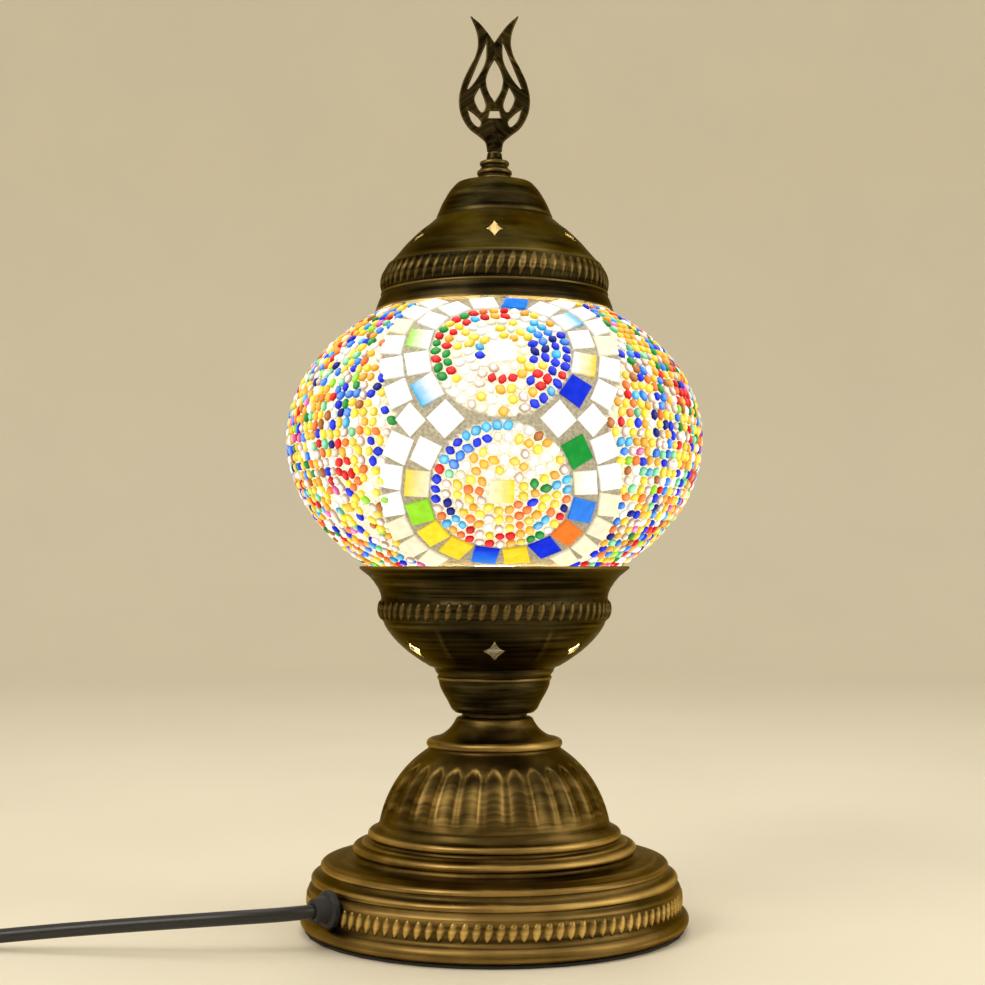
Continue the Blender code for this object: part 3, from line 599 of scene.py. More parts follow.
def make_switch():
    low, high = SWITCH_SPLIT_Z - 0.15, SWITCH_SPLIT_Z + 0.15
    bottom = switch_half("switch_case_bottom_shape", 0.2, low, (3.2, low + 2))
    cavity = (high - 2, SWITCH_HIGH - 1.8)
    top = switch_half("switch_case_top_shape", high, SWITCH_HIGH, cavity, (11.6, 17.6))
    half = 8.6
    dish = [(half - i * 17.2 / 24, 3.6 + 1.3 * abs(1 - i / 12) ** 1.5) for i in range(25)]
    outline = [(-half + 0.6, -1.4), (-2.6, -3), (2.6, -3), (half - 0.6, -1.4)] + dish
    rocker = prism_mesh("switch_rocker_shape", outline, -5.2, 5.2, Matrix.Rotation(radians(90), 4, "X"))
    soften(rocker, 0.35, 3, 40)
    tilt = Matrix.Rotation(radians(-7), 4, "Y")
    rocker.data.transform(moved(SWITCH_X, SWITCH_Y, 12.2) @ tilt)
    finish_piece(rocker, "rocker", "switch_plastic", "switch_rocker")
    return [bottom, top, rocker]


PLUG_X, PLUG_Y, PLUG_Z = -269, 34, 7.2


def make_plug():
    side = [(0, 17), (-4, 17.5), (-12, 15.6), (-22, 11.6), (-31, 8.2), (-35, 6)]
    side = [(x, y) for x, y in catmull(side, 1.2)]
    outline = side + [(x, -y) for x, y in reversed(side)]
    body = prism_mesh("plug_body_shape", outline, -6.9, 6.9, moved(PLUG_X, PLUG_Y, PLUG_Z))
    soften(body, 1.8, 5, 60)
    finish_piece(body, "root", "switch_plastic", "plug_body")
    along_x = Matrix.Rotation(radians(90), 4, "Y")
    boot_profile = [(0, 9.7), (5, 9.7)]
    for start in (8.6, 6.2, 3.8, 1.6):
        wide = 3.5 + 1.5 * start / 9.7
        boot_profile += [(wide + 0.15, start), (wide, start - 0.4)]
        boot_profile += [(wide - 0.7, start - 0.6), (wide - 0.7, start - 1.2)]
    boot_profile += [(3.3, 0.2), (3, 0), (0, 0)]
    boot = turned_piece("plug_boot_shape", boot_profile, moved(PLUG_X - 45, PLUG_Y, PLUG_Z) @ along_x)
    finish_piece(boot, "root", "cord_pvc", "plug_boot")
    pins = []
    for name, y in (("plug_pin_left", 9.3), ("plug_pin_right", -9.3)):
        profile = [(0, 19)] + arc((0.6, 17.6), 1.4, 90, 0, 5) + [(2, 0.3), (0, 0.3)]
        pin = turned_piece(name + "_shape", profile, moved(PLUG_X, PLUG_Y + y, PLUG_Z) @ along_x, 28)
        pins.append(finish_piece(pin, "root", "plug_pin", name))
    return [body, boot] + pins


TIE_HALF, TIE_THICK = 4, 0.5


def make_tie():
    """Fabric strap drawn round the coil on the side by the plug."""
    centres = [(26.1, 3.4), (37.3, 3.4), (31.7, 14.6), (26.1, 14.6)]
    outer = []
    for before, centre, after in zip(centres[-1:] + centres, centres, centres[1:] + centres[:1]):
        start = degrees(atan2(centre[1] - before[1], centre[0] - before[0])) - 90
        end = degrees(atan2(after[1] - centre[1], after[0] - centre[0])) - 90
        outer += arc(centre, CORD_RADIUS + 0.35 + TIE_THICK / 2, start, end + 360 * (end < start), 6)
    points = np.array(outer)
    from_middle = points - points.mean(axis=0)
    inner = points - from_middle * (TIE_THICK / np.linalg.norm(from_middle, axis=1))[:, None]
    rows = []
    for y, ring in ((-TIE_HALF, inner), (-TIE_HALF, points), (TIE_HALF, points), (TIE_HALF, inner)):
        rows.append(np.column_stack([COIL_X + ring[:, 0], np.full(len(ring), COIL_Y + y), ring[:, 1]]))
    soup = Soup()
    soup.grid(np.array(rows), wrap_rows=True, wrap_columns=True)
    return finish_piece(soup.build("coil_tie_shape", sharp=40), "root", "tie_fabric", "coil_tie")


cord = make_cord()
make_grommet()
cord_pieces = make_switch() + make_plug() + [make_tie()]
cord_pieces += [nodes[n] for n in ("switch_screw_lamp_end", "switch_screw_plug_end")]
cord_pieces += [nodes[n] for n in ("switch_contact_lamp_end", "switch_contact_plug_end")]


# ---------------------------------------------------------------- base, cup and cap

random.seed(7)


DOME_RADIUS, DOME_HEIGHT, DOME_Z = 47, 43.5, 36
FLUTES, FLUTE_HALF, FLUTE_DEPTH = 28, 0.36, 0.85  # how many, half width in pitches, depth


def base_side():
    neck = catmull([(14.6, 84.5), (15.4, 84), (16.4, 82.2), (18.2, 79.8), (21.2, 77.4), (25, 75.9)], 0.7)
    collar = arc((25.6, 74), 1.9, 75, -60, 10)
    dome = oval(DOME_RADIUS, DOME_HEIGHT, DOME_Z, 71.4, 42.2, 46)
    first_ring = [(47.7, 40.6), (48.2, 40)] + arc((49.4, 37.9), 1.7, 80, -60, 9) + [(50.5, 35.6), (51, 35.2)]
    second_ring = [(53.4, 34.8), (53.9, 34.4)] + arc((55.4, 32.2), 1.8, 80, -60, 9)
    ledge = [(56.5, 29.8), (57, 29.2)]
    ledge += catmull([(57.8, 28.8), (60.4, 28.4), (63.6, 28.1), (66.6, 27.6)], 0.9)
    ledge += arc((68.4, 25.4), 1.7, 85, -35, 9)
    third_ring = [(70.1, 23.6), (70.6, 22.9), (71.2, 22.5)] + arc((72.2, 20.6), 1.6, 70, -55, 9)
    wall = [(73.6, 18.6), (74.3, 17.9), (74.8, 17.2), (75, 16.6), (75, 14), (75, 11), (75, 8.6)]
    rim = arc((75.3, 4.3), 3, 82, -90, 14)
    return neck + collar + dome + first_ring + second_ring + ledge + third_ring + wall + rim


def base_inside():
    wall = [(73.4, 1.7), (72.9, 2.6), (72.7, 6.4), (73.9, 9), (73.9, 16.6)]
    steps = [(71.4, 19.4), (68.9, 23.4), (67.3, 26.3), (57.6, 27.3), (54.5, 30.4), (51.5, 33.3), (48.6, 35)]
    dome = [(47, 38.4)] + oval(DOME_RADIUS - 1, DOME_HEIGHT - 1, DOME_Z, 41, 70.6, 12)
    neck = [(24.6, 72.8), (23.5, 74.6), (20.3, 76.3), (17.1, 79), (15.2, 81.6), (14.3, 83.3)]
    return wall + steps + dome + neck + [(5.3, 83.3), (5.3, 84.5)]


def outside_wall(radius, z):
    """True on the neck's outer side."""
    return radius > np.interp(z, [75.9, 77.4, 79.8, 82.2, 84.6], [24.6, 20.7, 17.7, 15.9, 5])


def flutes(angle, radius, z):
    """Round-topped flutes pressed into the dome, with painted highlight lines on their rims and arched tops,
    and painted shade darkening the neck under the cup.
    """
    across = (angle * FLUTES / tau + 0.5) % 1 - 0.5
    bow = portion(1 - (across / FLUTE_HALF) ** 2)
    top = 62.4 + 4.2 * np.sqrt(bow)
    fade = portion((top - z) / 1.6) * portion((z - 43.6) / 6)
    dome = DOME_RADIUS * np.sqrt(portion(1 - ((z - DOME_Z) / DOME_HEIGHT) ** 2))
    on_dome = (z > 43) & (z < 70) & (radius > 0.94 * dome + 0.6)
    depth = np.where(on_dome, bow**0.8 * fade, 0)
    # painted highlights: light lines down each flute's rims
    rim = np.where(on_dome & (z < 67.5), np.exp(-(((np.abs(across) - 0.38) / 0.07) ** 2)), 0)
    rim = 0.3 * rim * portion((67 - z) / 3) * portion((z - 45) / 5)
    # painted highlight along each flute's arched top
    arch_highlight = np.where(on_dome, np.exp(-(((z - top) / 0.7) ** 2)) * (bow > 0.02), 0)
    # painted shade: the neck's cone under the cup is darkened almost to black
    neck = np.where((z > 76.6) & outside_wall(radius, z), 1.3, 0)
    return -FLUTE_DEPTH * depth, -neck + rim + 0.55 * arch_highlight


def make_base():
    soup = Soup()
    side = base_side()
    lathe(soup, side + base_inside(), 392, flutes)
    ridges(soup, [(75, 0), (75, 30)], 106, 8.4, 16.2, 0.13, 0.86, 0.95, 1.7)
    finish_piece(soup.build("base_shape"), "root", "antique_brass", "base_shell")


def star_outline(half_width, half_height, steps=8):
    outline = []
    for quarter in range(4):
        for step in range(steps):
            t = 0.5 * pi * (quarter + step / steps)
            x = copysign(cos(t) ** 2, round(cos(t), 9))
            y = copysign(sin(t) ** 2, round(sin(t), 9))
            curve = 1 - 0.9 * abs(x * y)
            outline.append((half_width * x * curve, half_height * y * curve))
    return outline


def star_cutters(centre, slope, half_width, half_height):
    """Six stars round the lamp, wider inside so that the wall's thickness doesn't show."""
    builder = bmesh.new()
    up_wall = Vector((slope[0], 0, slope[1])).normalized()
    across = Vector((0, 1, 0))
    matrix = Matrix((across, up_wall, across.cross(up_wall))).transposed().to_4x4()
    matrix.translation = Vector((centre[0], 0, centre[1])) * MM
    outline = star_outline(half_width, half_height)
    for i in range(6):
        turn = Matrix.Rotation(radians(-90 + 60 * i), 4, "Z")
        prism(builder, outline, [(-4, 2), (-0.2, 1), (4, 1)], turn @ matrix)
    return from_bmesh("stars", builder)


def cup_side():
    lip = [(54.5, 145.2), (54.6, 144.5), (52.4, 142.7), (50.5, 141.1), (48.6, 138.9)]
    rim = [(53.9, 145.4)] + catmull(lip, 0.7)
    waist = catmull([(48, 137.9), (47, 136.4), (46.1, 134.2), (45.8, 132.4)], 0.8)
    band = catmull([(46.3, 131.4), (46.6, 129.8), (46.6, 127), (46, 124.6), (45.4, 123.6)], 0.8)
    bowl = [(44.8, 122.8), (44.4, 121.6), (42.8, 119.5), (39, 114.9), (33.9, 110.3)]
    bowl += [(30.2, 107.5), (26.5, 105.2)]
    rings = [(25.2, 104.8), (24.5, 104.4), (24.1, 103.6), (23.7, 102.6), (22.9, 101.7)]
    rings += arc((22.3, 100.4), 0.9, 60, -60, 6)
    foot = catmull([(22.5, 99), (22.2, 97.2), (20.9, 94.3), (19, 91), (17.5, 88), (15.9, 86.4)], 0.9)
    return rim + waist + band + catmull(bowl, 0.9) + rings + foot


def cup_inside():
    floor = [(5.3, 86.3), (5.3, 87.5), (15.2, 87.5)]
    inside = [(17.9, 91.6), (20.9, 97.4), (22, 102), (22.8, 104.6), (25.9, 106.5), (33.2, 111.4)]
    inside += [(38, 115.8), (41.8, 120.2), (44.1, 123.9), (45.4, 127.8), (44.8, 132)]
    return floor + inside + [(45.1, 134.4), (46.2, 137.2), (47.8, 139.8), (49.8, 142)]


def cup_ribs(angle, radius, z):
    """Six faint ribs, each midway between two stars."""
    across = ((angle + pi / 2) / (pi / 3) + 0.5) % 1
    side = np.minimum(np.abs(across), np.abs(1 - across)) * (pi / 3) * radius
    shown = (z > 107.5) & (z < 122) & (radius > 30 + (z - 108) * 0.99)
    fade = portion((z - 107.5) / 3) * portion((122 - z) / 3)
    rib = np.where(shown, np.exp(-((side / 0.8) ** 2)), 0) * fade
    return 0.55 * rib, 0.5 * rib


def cap_side():
    crown = [(15.4, 299.8), (16.6, 298.6), (18.6, 296.1), (21.3, 291.4), (23, 287.4)]
    step = [(23.4, 286.6), (23.5, 285.7), (23.9, 285.1), (24.6, 284.6)]
    cone = [(27.2, 282.3), (30.6, 279.7), (35.7, 274.7), (39.9, 269.8), (42.2, 267.3), (43.2, 266.6)]
    band = [(43.6, 266), (43.9, 264.6), (44.9, 262.4), (45.5, 259.4), (45.4, 256.6), (45.2, 255.8)]
    ring = arc((45.2, 254.8), 0.8, 50, -50, 6)
    skirt = catmull([(45.8, 253.8), (46.4, 252.8), (47.3, 250.6), (48, 248.4), (48.2, 247.8)], 0.8)
    upper = [(15, 300)] + catmull(crown, 0.9) + step + catmull(cone, 1)
    return upper + catmull(band, 0.8) + ring + skirt


def cap_inside():
    inside = [(47.2, 247.8), (46.3, 250.6), (45, 253.2), (44.2, 256.2), (44.4, 259.4), (43, 262.4)]
    inside += [(42, 264.9), (38.6, 269.3), (34.4, 273.9), (29.6, 278.5), (23.2, 283), (22, 286.6)]
    return inside + [(20.2, 291), (17.4, 295.8), (15.3, 298.1), (14.6, 298.8), (3.3, 298.8), (3.3, 300)]


def line_inside(shell):
    """Give the faces that look towards the axis the bare metal of the inside."""
    shell.data.materials.append(LOOKS["raw_brass"])
    for face in shell.data.polygons:
        centre, normal = face.center, face.normal
        if centre.x * normal.x + centre.y * normal.y < -0.12 * hypot(centre.x, centre.y):
            face.material_index = 1


def pierced(name, side, inside, stars, band, shape=None):
    """Turned shell with its ring of stars cut out and a band of ridges round it."""
    shell = Soup()
    lathe(shell, side + inside, 180, shape)
    shell = shell.build(name, LOOKS["dark_brass"])
    line_inside(shell)
    cut(shell, star_cutters(*stars))
    extra = Soup()
    ridges(extra, side, *band)
    extra = extra.build("ridges")
    builder = bmesh.new()
    builder.from_mesh(shell.data)
    builder.from_mesh(extra.data)
    builder.to_mesh(shell.data)
    builder.free()
    bpy.data.objects.remove(extra, do_unlink=True)
    shell.data.shade_smooth()
    return sharpen(shell, 48)


def make_cup_and_cap():
    stars = ((36.4, 112.6), (5.1, 4.6), 4.6, 5.8)
    band = (64, 123.6, 131.8, 0.17, 0.74, 0.85, 2)
    cup = pierced("cup_shape", cup_side(), cup_inside(), stars, band, cup_ribs)
    finish_piece(cup, "root", "dark_brass", "cup_shell")
    stars = ((34.4, 275.8), (-5, 5), 4.2, 5.2)
    band = (66, 255.6, 265.8, 0.3, 0.8, 0.9, 1.35)
    cap = pierced("cap_shape", cap_side(), cap_inside(), stars, band)
    finish_piece(cap, "cap", "dark_brass", "cap_shell")


make_base()
make_cup_and_cap()


# ---------------------------------------------------------------- finial


def make_ferrule():
    post = [(0.01, 313), (2.4, 313), (2.8, 312.6), (3, 311.8), (3.2, 310.4), (3.5, 309.5)]
    beads = arc((5, 308.2), 1, 75, -65, 6) + [(5.3, 306.7)] + arc((5.9, 304.4), 1.2, 75, -60, 7)
    foot = [(6.5, 303.1), (6.8, 302.8)] + arc((6.5, 301.7), 0.9, 70, -20, 5)
    foot += [(7.4, 300.3), (3.3, 300.3), (3.3, 307.9), (0.01, 307.9)]
    soup = Soup()
    lathe(soup, post + beads + foot, 64)
    finish_piece(soup.build("ferrule_shape"), "finial", "dark_brass", "finial_ferrule")


def mirrored(points):
    return [(-x, z) for x, z in reversed(points)]


def tulip_loops():
    left = [(-3, 313.3), (-3.7, 317), (-6.4, 319.6), (-10.6, 323), (-13.7, 328.6), (-14.4, 334.4)]
    left += [(-13.1, 340.6), (-10.6, 346.2), (-7.7, 351.9), (-6.7, 357), (-7.4, 362.4), (-9.7, 368)]
    rise = catmull(left, 0.8)[:-1]
    fall = catmull([(-9.7, 368), (-6.2, 365.2), (-2.9, 361.4), (0, 357.2)], 0.8)[:-1]
    outline = rise + fall + [(0, 357.2)] + mirrored(fall) + mirrored(rise)[:-1] + [(3, 313.3)]
    middle = catmull([(0, 350.6), (-2.2, 346.6), (-3.4, 342), (-2.4, 337.2), (0, 333.2)], 0.8)
    lens = middle + mirrored(middle)[1:-1]
    window = [(-1.8, 329.9), (1.8, 329.9), (2.6, 326.6), (-2.6, 326.6)]
    slivers = [
        [(-3.3, 357.4), (-5.2, 353), (-8, 346.2), (-11, 338.6), (-9.4, 339.6), (-6.3, 344), (-3.6, 350)],
        [(-6, 339.4), (-8.1, 334.4), (-5.4, 329), (-3.6, 332)],
        [(-10.9, 330.4), (-8.4, 328.6), (-5.6, 325.6), (-6.4, 323), (-9.2, 325.4)],
    ]
    loops = [outline, lens, window]
    for hole in slivers:
        ring = catmull(hole + hole[:1], 0.9)[:-1]
        loops += [ring, mirrored(ring)]
    return loops


def make_tulip():
    """Openwork tulip with rounded edges, lighter where its faces meet them: rubbed wear and a painted edge
    highlight.
    """
    curve = bpy.data.curves.new("tulip", "CURVE")
    curve.dimensions = "2D"
    curve.fill_mode = "BOTH"
    curve.extrude = 1 * MM
    curve.bevel_depth = 0.5 * MM
    curve.bevel_resolution = 3
    curve.offset = -0.5 * MM
    for loop in tulip_loops():
        poly_spline(curve, [(x, z, 0) for x, z in loop]).use_cyclic_u = True
    source = link("tulip_curve", curve)
    bpy.context.view_layer.update()
    graph = bpy.context.evaluated_depsgraph_get()
    mesh = bpy.data.meshes.new_from_object(source.evaluated_get(graph))
    bpy.data.objects.remove(source, do_unlink=True)
    mesh.transform(Matrix.Rotation(radians(90), 4, "X"))
    mesh.name = "tulip_shape"
    depth = np.array([abs(v.co.y) for v in mesh.vertices])
    # light band along the edges: rubbed wear and a painted edge highlight
    worn = 0.55 * (depth > 1.1 * MM) * (depth < 1.48 * MM)
    mesh.attributes.new("worn", "FLOAT", "POINT").data.foreach_set("value", worn.astype(np.float32))
    mesh.shade_smooth()
    finish_piece(sharpen(link("tulip_shape", mesh), 45), "finial", "dark_brass", "finial_tulip")


make_ferrule()
make_tulip()


# ---------------------------------------------------------------- mosaic

CENTRE_Z, GLOBE_RADIUS, UPPER, LOWER = 196, 84, 62.3, 64.5
GROUT_INSET = 1.5  # the grout's face lies this far inside the beads' tops
LOW_MEDALLION_Z = 172.6
MEDALLION_GAP = 53.5  # along the meridian
PANEL_AZIMUTH = -88  # degrees, the middle of the front panel
PITCH = 4.05  # of the bead rings
PANELS = 3
RING_RADIUS, OUTER_RADIUS, OUTER_COUNT = 31.5, 42.3, 16  # the tiles round each medallion

# Glass colours, and how far the middle of a bead of each goes towards the lamp's own light
COLOURS = {
    "white": (*srgb(255, 251, 240), 1),
    "cream": (*srgb(246, 236, 200), 0.3),
    "clear": (*srgb(206, 172, 142), 1),
    "yellow": (*srgb(255, 216, 14), 0.22),
    "gold": (*srgb(250, 176, 8), 0.16),
    "amber": (*srgb(176, 98, 14), 0.12),
    "orange": (*srgb(250, 118, 14), 0.14),
    "red": (*srgb(222, 18, 20), 0.06),
    "pink": (*srgb(236, 92, 176), 0.3),
    "green": (*srgb(0, 140, 46), 0.08),
    "lime": (*srgb(150, 220, 24), 0.15),
    "mint": (*srgb(96, 206, 140), 0.4),
    "cyan": (*srgb(26, 172, 232), 0.26),
    "light_blue": (*srgb(16, 124, 236), 0.2),
    "blue": (*srgb(4, 44, 218), 0.05),
    "navy": (*srgb(6, 18, 126), 0.04),
}
FIELD_SHARES = {
    "yellow": 21, "gold": 15, "white": 13, "clear": 13, "blue": 8, "light_blue": 7, "red": 7, "orange": 6,
    "mint": 5, "green": 4, "amber": 3, "pink": 2, "navy": 2, "lime": 2, "cyan": 3,
}  # fmt: skip


class Globe:
    """The grout's face. v runs up the meridian from the lower medallion and u runs round, in mm."""

    def __init__(self):
        angles = np.radians(np.linspace(-62, 62, 600))
        radius = (GLOBE_RADIUS - GROUT_INSET) * np.cos(angles)
        drop = np.where(angles > 0, UPPER - GROUT_INSET, LOWER - GROUT_INSET)
        z = CENTRE_Z + drop * np.sin(angles)
        travel = np.concatenate([[0], np.cumsum(np.hypot(np.diff(radius), np.diff(z)))])
        self.v = travel - np.interp(LOW_MEDALLION_Z, z, travel)
        self.radius, self.z = radius, z
        self.slope = np.arctan2(np.gradient(z), np.gradient(radius))
        self.v_low = float(np.interp(49.3, radius[:300], self.v[:300]))
        self.v_high = float(np.interp(-44.8, -radius[300:], self.v[300:]))

    def place(self, u, v, azimuth=PANEL_AZIMUTH):
        """Points, and their right, up and outward directions, for arrays of u and v."""
        radius, z, slope = [np.interp(v, self.v, known) for known in (self.radius, self.z, self.slope)]
        turn = radians(azimuth) + np.asarray(u) / radius
        x, y = np.cos(turn), np.sin(turn)
        point = np.stack([radius * x, radius * y, z], axis=-1)
        right = np.stack([-y, x, 0 * y], axis=-1)
        up = np.stack([np.cos(slope) * x, np.cos(slope) * y, np.sin(slope)], axis=-1)
        return point, right, up, np.cross(right, up)


globe = Globe()
MID_V = MEDALLION_GAP / 2


def polar(centre_v, radius, angle):
    return radius * cos(radians(angle)), centre_v + radius * sin(radians(angle))


# Tiles of the ring round each medallion, clockwise below and anticlockwise above, from the waist
LOW_RING = "green white/cream light_blue orange blue yellow light_blue/blue".split()
LOW_RING += "yellow yellow lime yellow/cream white".split()
HIGH_RING = "blue yellow/white white cyan/white white light_blue".split()
HIGH_RING += "white white white lime/white white cyan/white".split()


def panel_tiles():
    """(u, v, turn in degrees, side, colour) for each square tile of one panel."""
    tiles = [(0, 0, 0, 9.2, "yellow/cream"), (0, MEDALLION_GAP, 8, 9.2, "white")]
    tiles += [(u, MID_V, 45, 9.8, "white") for u in (20.5, -20.5)]
    rings = ((0, 50, -21.46, LOW_RING), (MEDALLION_GAP, -52.5, 21.9, HIGH_RING))
    for centre, first, step, ring in rings:
        for i, colour in enumerate(ring):
            angle = first + step * (i + 1)
            tiles.append((*polar(centre, RING_RADIUS, angle), angle, 9.5, colour))
    tiles += [(u, MID_V, 45, 8.6, "white") for u in (33.8, -33.8)]
    for centre, first, last in ((0, 23.5, -203.5), (MEDALLION_GAP, -23.5, 203.5)):
        for i in range(OUTER_COUNT):
            angle = first + (last - first) * i / (OUTER_COUNT - 1)
            u, v = polar(centre, OUTER_RADIUS, angle)
            tiles.append((u, v, angle, 9.4, "cream" if v < -12 or i % 5 == 2 else "white"))
    return tiles


def tile_points(u, v, turn, side):
    """Outline of one tile at its foot, its shoulder and its bevelled top."""
    corners = []
    for sx, sy in ((1, 1), (-1, 1), (-1, -1), (1, -1)):
        x = sx * side / 2 + random.uniform(-0.3, 0.3)
        corners.append((x, sy * side / 2 + random.uniform(-0.3, 0.3)))
    along, across = cos(radians(turn)), sin(radians(turn))
    rings = []
    for scale, lift in ((1, -0.35), (1, 0.75), (0.93, 1.02)):
        for x, y in corners:
            x, y = x * scale, y * scale
            rings.append((u + x * along - y * across, v + x * across + y * along, lift))
    return rings


TILE_FACES = [(i, (i + 1) % 4, 4 + (i + 1) % 4, 4 + i) for i in range(4)]
TILE_FACES += [(4 + i, 4 + (i + 1) % 4, 8 + (i + 1) % 4, 8 + i) for i in range(4)] + [(8, 9, 10, 11)]


def panel_azimuths():
    return [PANEL_AZIMUTH + 360 / PANELS * panel for panel in range(PANELS)]


def make_tiles():
    soup = Soup()
    for azimuth in panel_azimuths():
        for u, v, turn, side, colour in panel_tiles():
            if not globe.v_low + 3.2 <= v <= globe.v_high - 3.2:
                continue
            turn += random.uniform(-3, 3)
            rings = np.array(tile_points(u, v, turn, side * random.uniform(0.96, 1.03)))
            rings[:, 1] = np.clip(rings[:, 1], globe.v_low, globe.v_high)
            point, _, _, out = globe.place(rings[:, 0], rings[:, 1], azimuth)
            point = point + out * rings[:, 2:3]
            outer, inner = [np.array(COLOURS[part]) for part in (colour.split("/") * 2)[:2]]
            tint = np.array([outer, inner, inner, outer] * 3)
            tint[:, :3] *= random.uniform(0.92, 1.08)
            tint[:, 3] *= np.where(tint[:, 3] < 0.9, 0.3, 1)
            # painted shade on the tile's sides: darkest at the foot, brighter at the shoulder and on the top
            core = np.array([0.1] * 4 + [0.35] * 4 + [0.72] * 4)
            soup.add(point, TILE_FACES, tint=tint, core=core)
    tiles = soup.build("mosaic_tiles", lit_glass("mosaic_tile_glass", 1.15, 0.1), 20)
    finish_piece(tiles, "globe", "mosaic")


# Patches of colour in the medallions: (from angle, to angle, from radius, to radius, colours)
LOW_PATCHES = [
    (97, 150, 18, 30, "light_blue light_blue cyan blue"),
    (68, 97, 22, 30, "clear white cyan"),
    (38, 72, 17, 30, "gold yellow amber gold white"),
    (12, 42, 21, 30, "clear orange yellow gold mint"),
    (142, 166, 20, 30, "red cyan blue mint"),
    (166, 205, 20, 30, "green navy clear blue gold"),
    (200, 236, 17, 30, "yellow orange gold red cyan"),
    (236, 292, 20, 30, "yellow gold red red clear"),
    (292, 326, 17, 30, "cyan yellow green gold white"),
    (318, 361, 17, 30, "blue navy red orange yellow"),
    (0, 22, 10, 30, "cyan green yellow gold"),
    (290, 361, 8, 17, "cyan blue yellow gold orange"),
    (160, 240, 8, 20, "orange yellow gold yellow clear"),
    (20, 110, 8, 17, "white clear gold yellow white"),
]
HIGH_PATCHES = [
    (338, 361, 9, 25, "blue blue blue cyan"),
    (0, 22, 9, 25, "blue navy blue light_blue"),
    (22, 58, 14, 24, "cyan light_blue pink yellow"),
    (296, 340, 14, 30, "cyan blue yellow gold red"),
    (250, 292, 10, 16, "red blue gold red green"),
    (292, 345, 20, 30, "gold yellow yellow orange"),
    (150, 215, 8, 16, "blue blue yellow cyan white"),
    (145, 215, 18, 30, "red green red green gold"),
    (84, 100, 20, 30, "blue red yellow gold"),
    (98, 148, 17, 30, "yellow gold orange red cyan green"),
    (30, 84, 22, 30, "yellow gold gold white"),
]
ELSEWHERE = "white white white clear yellow yellow cream gold"


def medallion_colour(upper, radius, angle):
    """Colour of a bead in a medallion, by where it lies in the pattern."""
    angle %= 360
    for start, end, near, far, colours in HIGH_PATCHES if upper else LOW_PATCHES:
        if start <= angle < end and near <= radius < far:
            return random.choice(colours.split())
    return random.choice(ELSEWHERE.split())


def medallion_beads():
    """(u, v, colour) of the beads in the rings of one panel's medallions."""
    tiles = [(u, v, side) for u, v, _, side, _ in panel_tiles()]
    beads = []
    for upper, centre in ((False, 0), (True, MEDALLION_GAP)):
        for ring in range(5):
            radius = 8.1 + PITCH * ring
            count = round(tau * radius / 3.9)
            start = random.uniform(0, 360)
            for i in range(count):
                angle = start + 360 * i / count
                u, v = polar(centre, radius, angle)
                across = v > MID_V - 0.2 if not upper else v < MID_V + 0.2
                if across or any(hypot(u - x, v - y) < side * 0.5 + 1.4 for x, y, side in tiles):
                    continue
                if any(hypot(u - x, v - y) < 3.1 for x, y, _ in beads):
                    continue
                beads.append((u, v, medallion_colour(upper, radius, angle)))
    return beads


PANEL_EDGE = 47.6  # how far a panel's figure of eight reaches from the middle of its medallions


def from_panel(turn):
    """The angle from the middle of the nearest panel."""
    share = tau / PANELS
    return (turn + share / 2) % share - share / 2


def panel_reach(u, v):
    """Distance from the middle of the nearer medallion."""
    return np.minimum(np.hypot(u, v), np.hypot(u, v - MEDALLION_GAP))


def field_beads():
    """(u, v, colour) of the beads that fill the rest of the globe, u measured from the front panel."""
    spots = []
    v = globe.v_low + 1.8
    while v < globe.v_high - 1.4:
        radius = float(np.interp(v, globe.v, globe.radius))
        count = round(tau * radius / 4)
        start = random.random()
        for i in range(count):
            turn = (i + start + random.uniform(-0.3, 0.3)) / count * tau
            height = v + random.uniform(-0.75, 0.75)
            if panel_reach(from_panel(turn) * radius, height) > PANEL_EDGE + 0.6:
                spots.append((turn * radius, height))
        v += 3.55
    spots = push_apart(spots)
    shares = list(FIELD_SHARES.values())
    return [(u, v, random.choices(list(FIELD_SHARES), shares)[0]) for u, v in spots]


def push_apart(spots, rounds=7, gap=3.85):
    """Move beads that overlap away from each other on the surface."""
    u, v = np.array(spots).T
    for _ in range(rounds):
        point, right, up, _ = globe.place(u, v)
        tree = KDTree(len(point))
        for i, p in enumerate(point):
            tree.insert(p, i)
        tree.balance()
        shift = np.zeros((len(point), 2))
        for i, p in enumerate(point):
            for _, j, distance in tree.find_range(p, gap):
                if j != i and distance > 0.01:
                    away = (p - point[j]) / distance * (gap - distance) * 0.3
                    shift[i] += (away @ right[i], away @ up[i])
        u = u + shift[:, 0]
        v = np.clip(v + shift[:, 1], globe.v_low + 1.6, globe.v_high - 1.3)
    return list(zip(u, v))


def bead_template():
    """A bead's visible half: rings of (x, y, height) for a unit bead, and how central each point is, which
    sets the painted light and shade: brightest at the top, darker down the sides.
    """
    sides, levels = 10, ((1, -0.25), (1, 0.25), (0.86, 0.62), (0.5, 0.92))
    points, core = [], []
    for ring, (radius, height) in enumerate(levels):
        for i in range(sides):
            a = tau * (i + 0.5 * (ring % 2)) / sides
            square = 1 + 0.07 * cos(4 * a)
            points.append((radius * square * cos(a), radius * square * sin(a), height))
            # painted shade down the bead's sides, painted light at its top
            core.append((0, 0.12, 0.5, 0.92)[ring])
    points.append((0, 0, 1))
    core.append(1)
    faces = []
    for ring in range(3):
        for i in range(sides):
            j = (i + 1) % sides
            low, high = ring * sides, (ring + 1) * sides
            faces.append((low + i, low + j, high + j, high + i))
    faces += [(3 * sides + i, 3 * sides + (i + 1) % sides, 4 * sides) for i in range(sides)]
    return np.array(points), np.array(core), faces


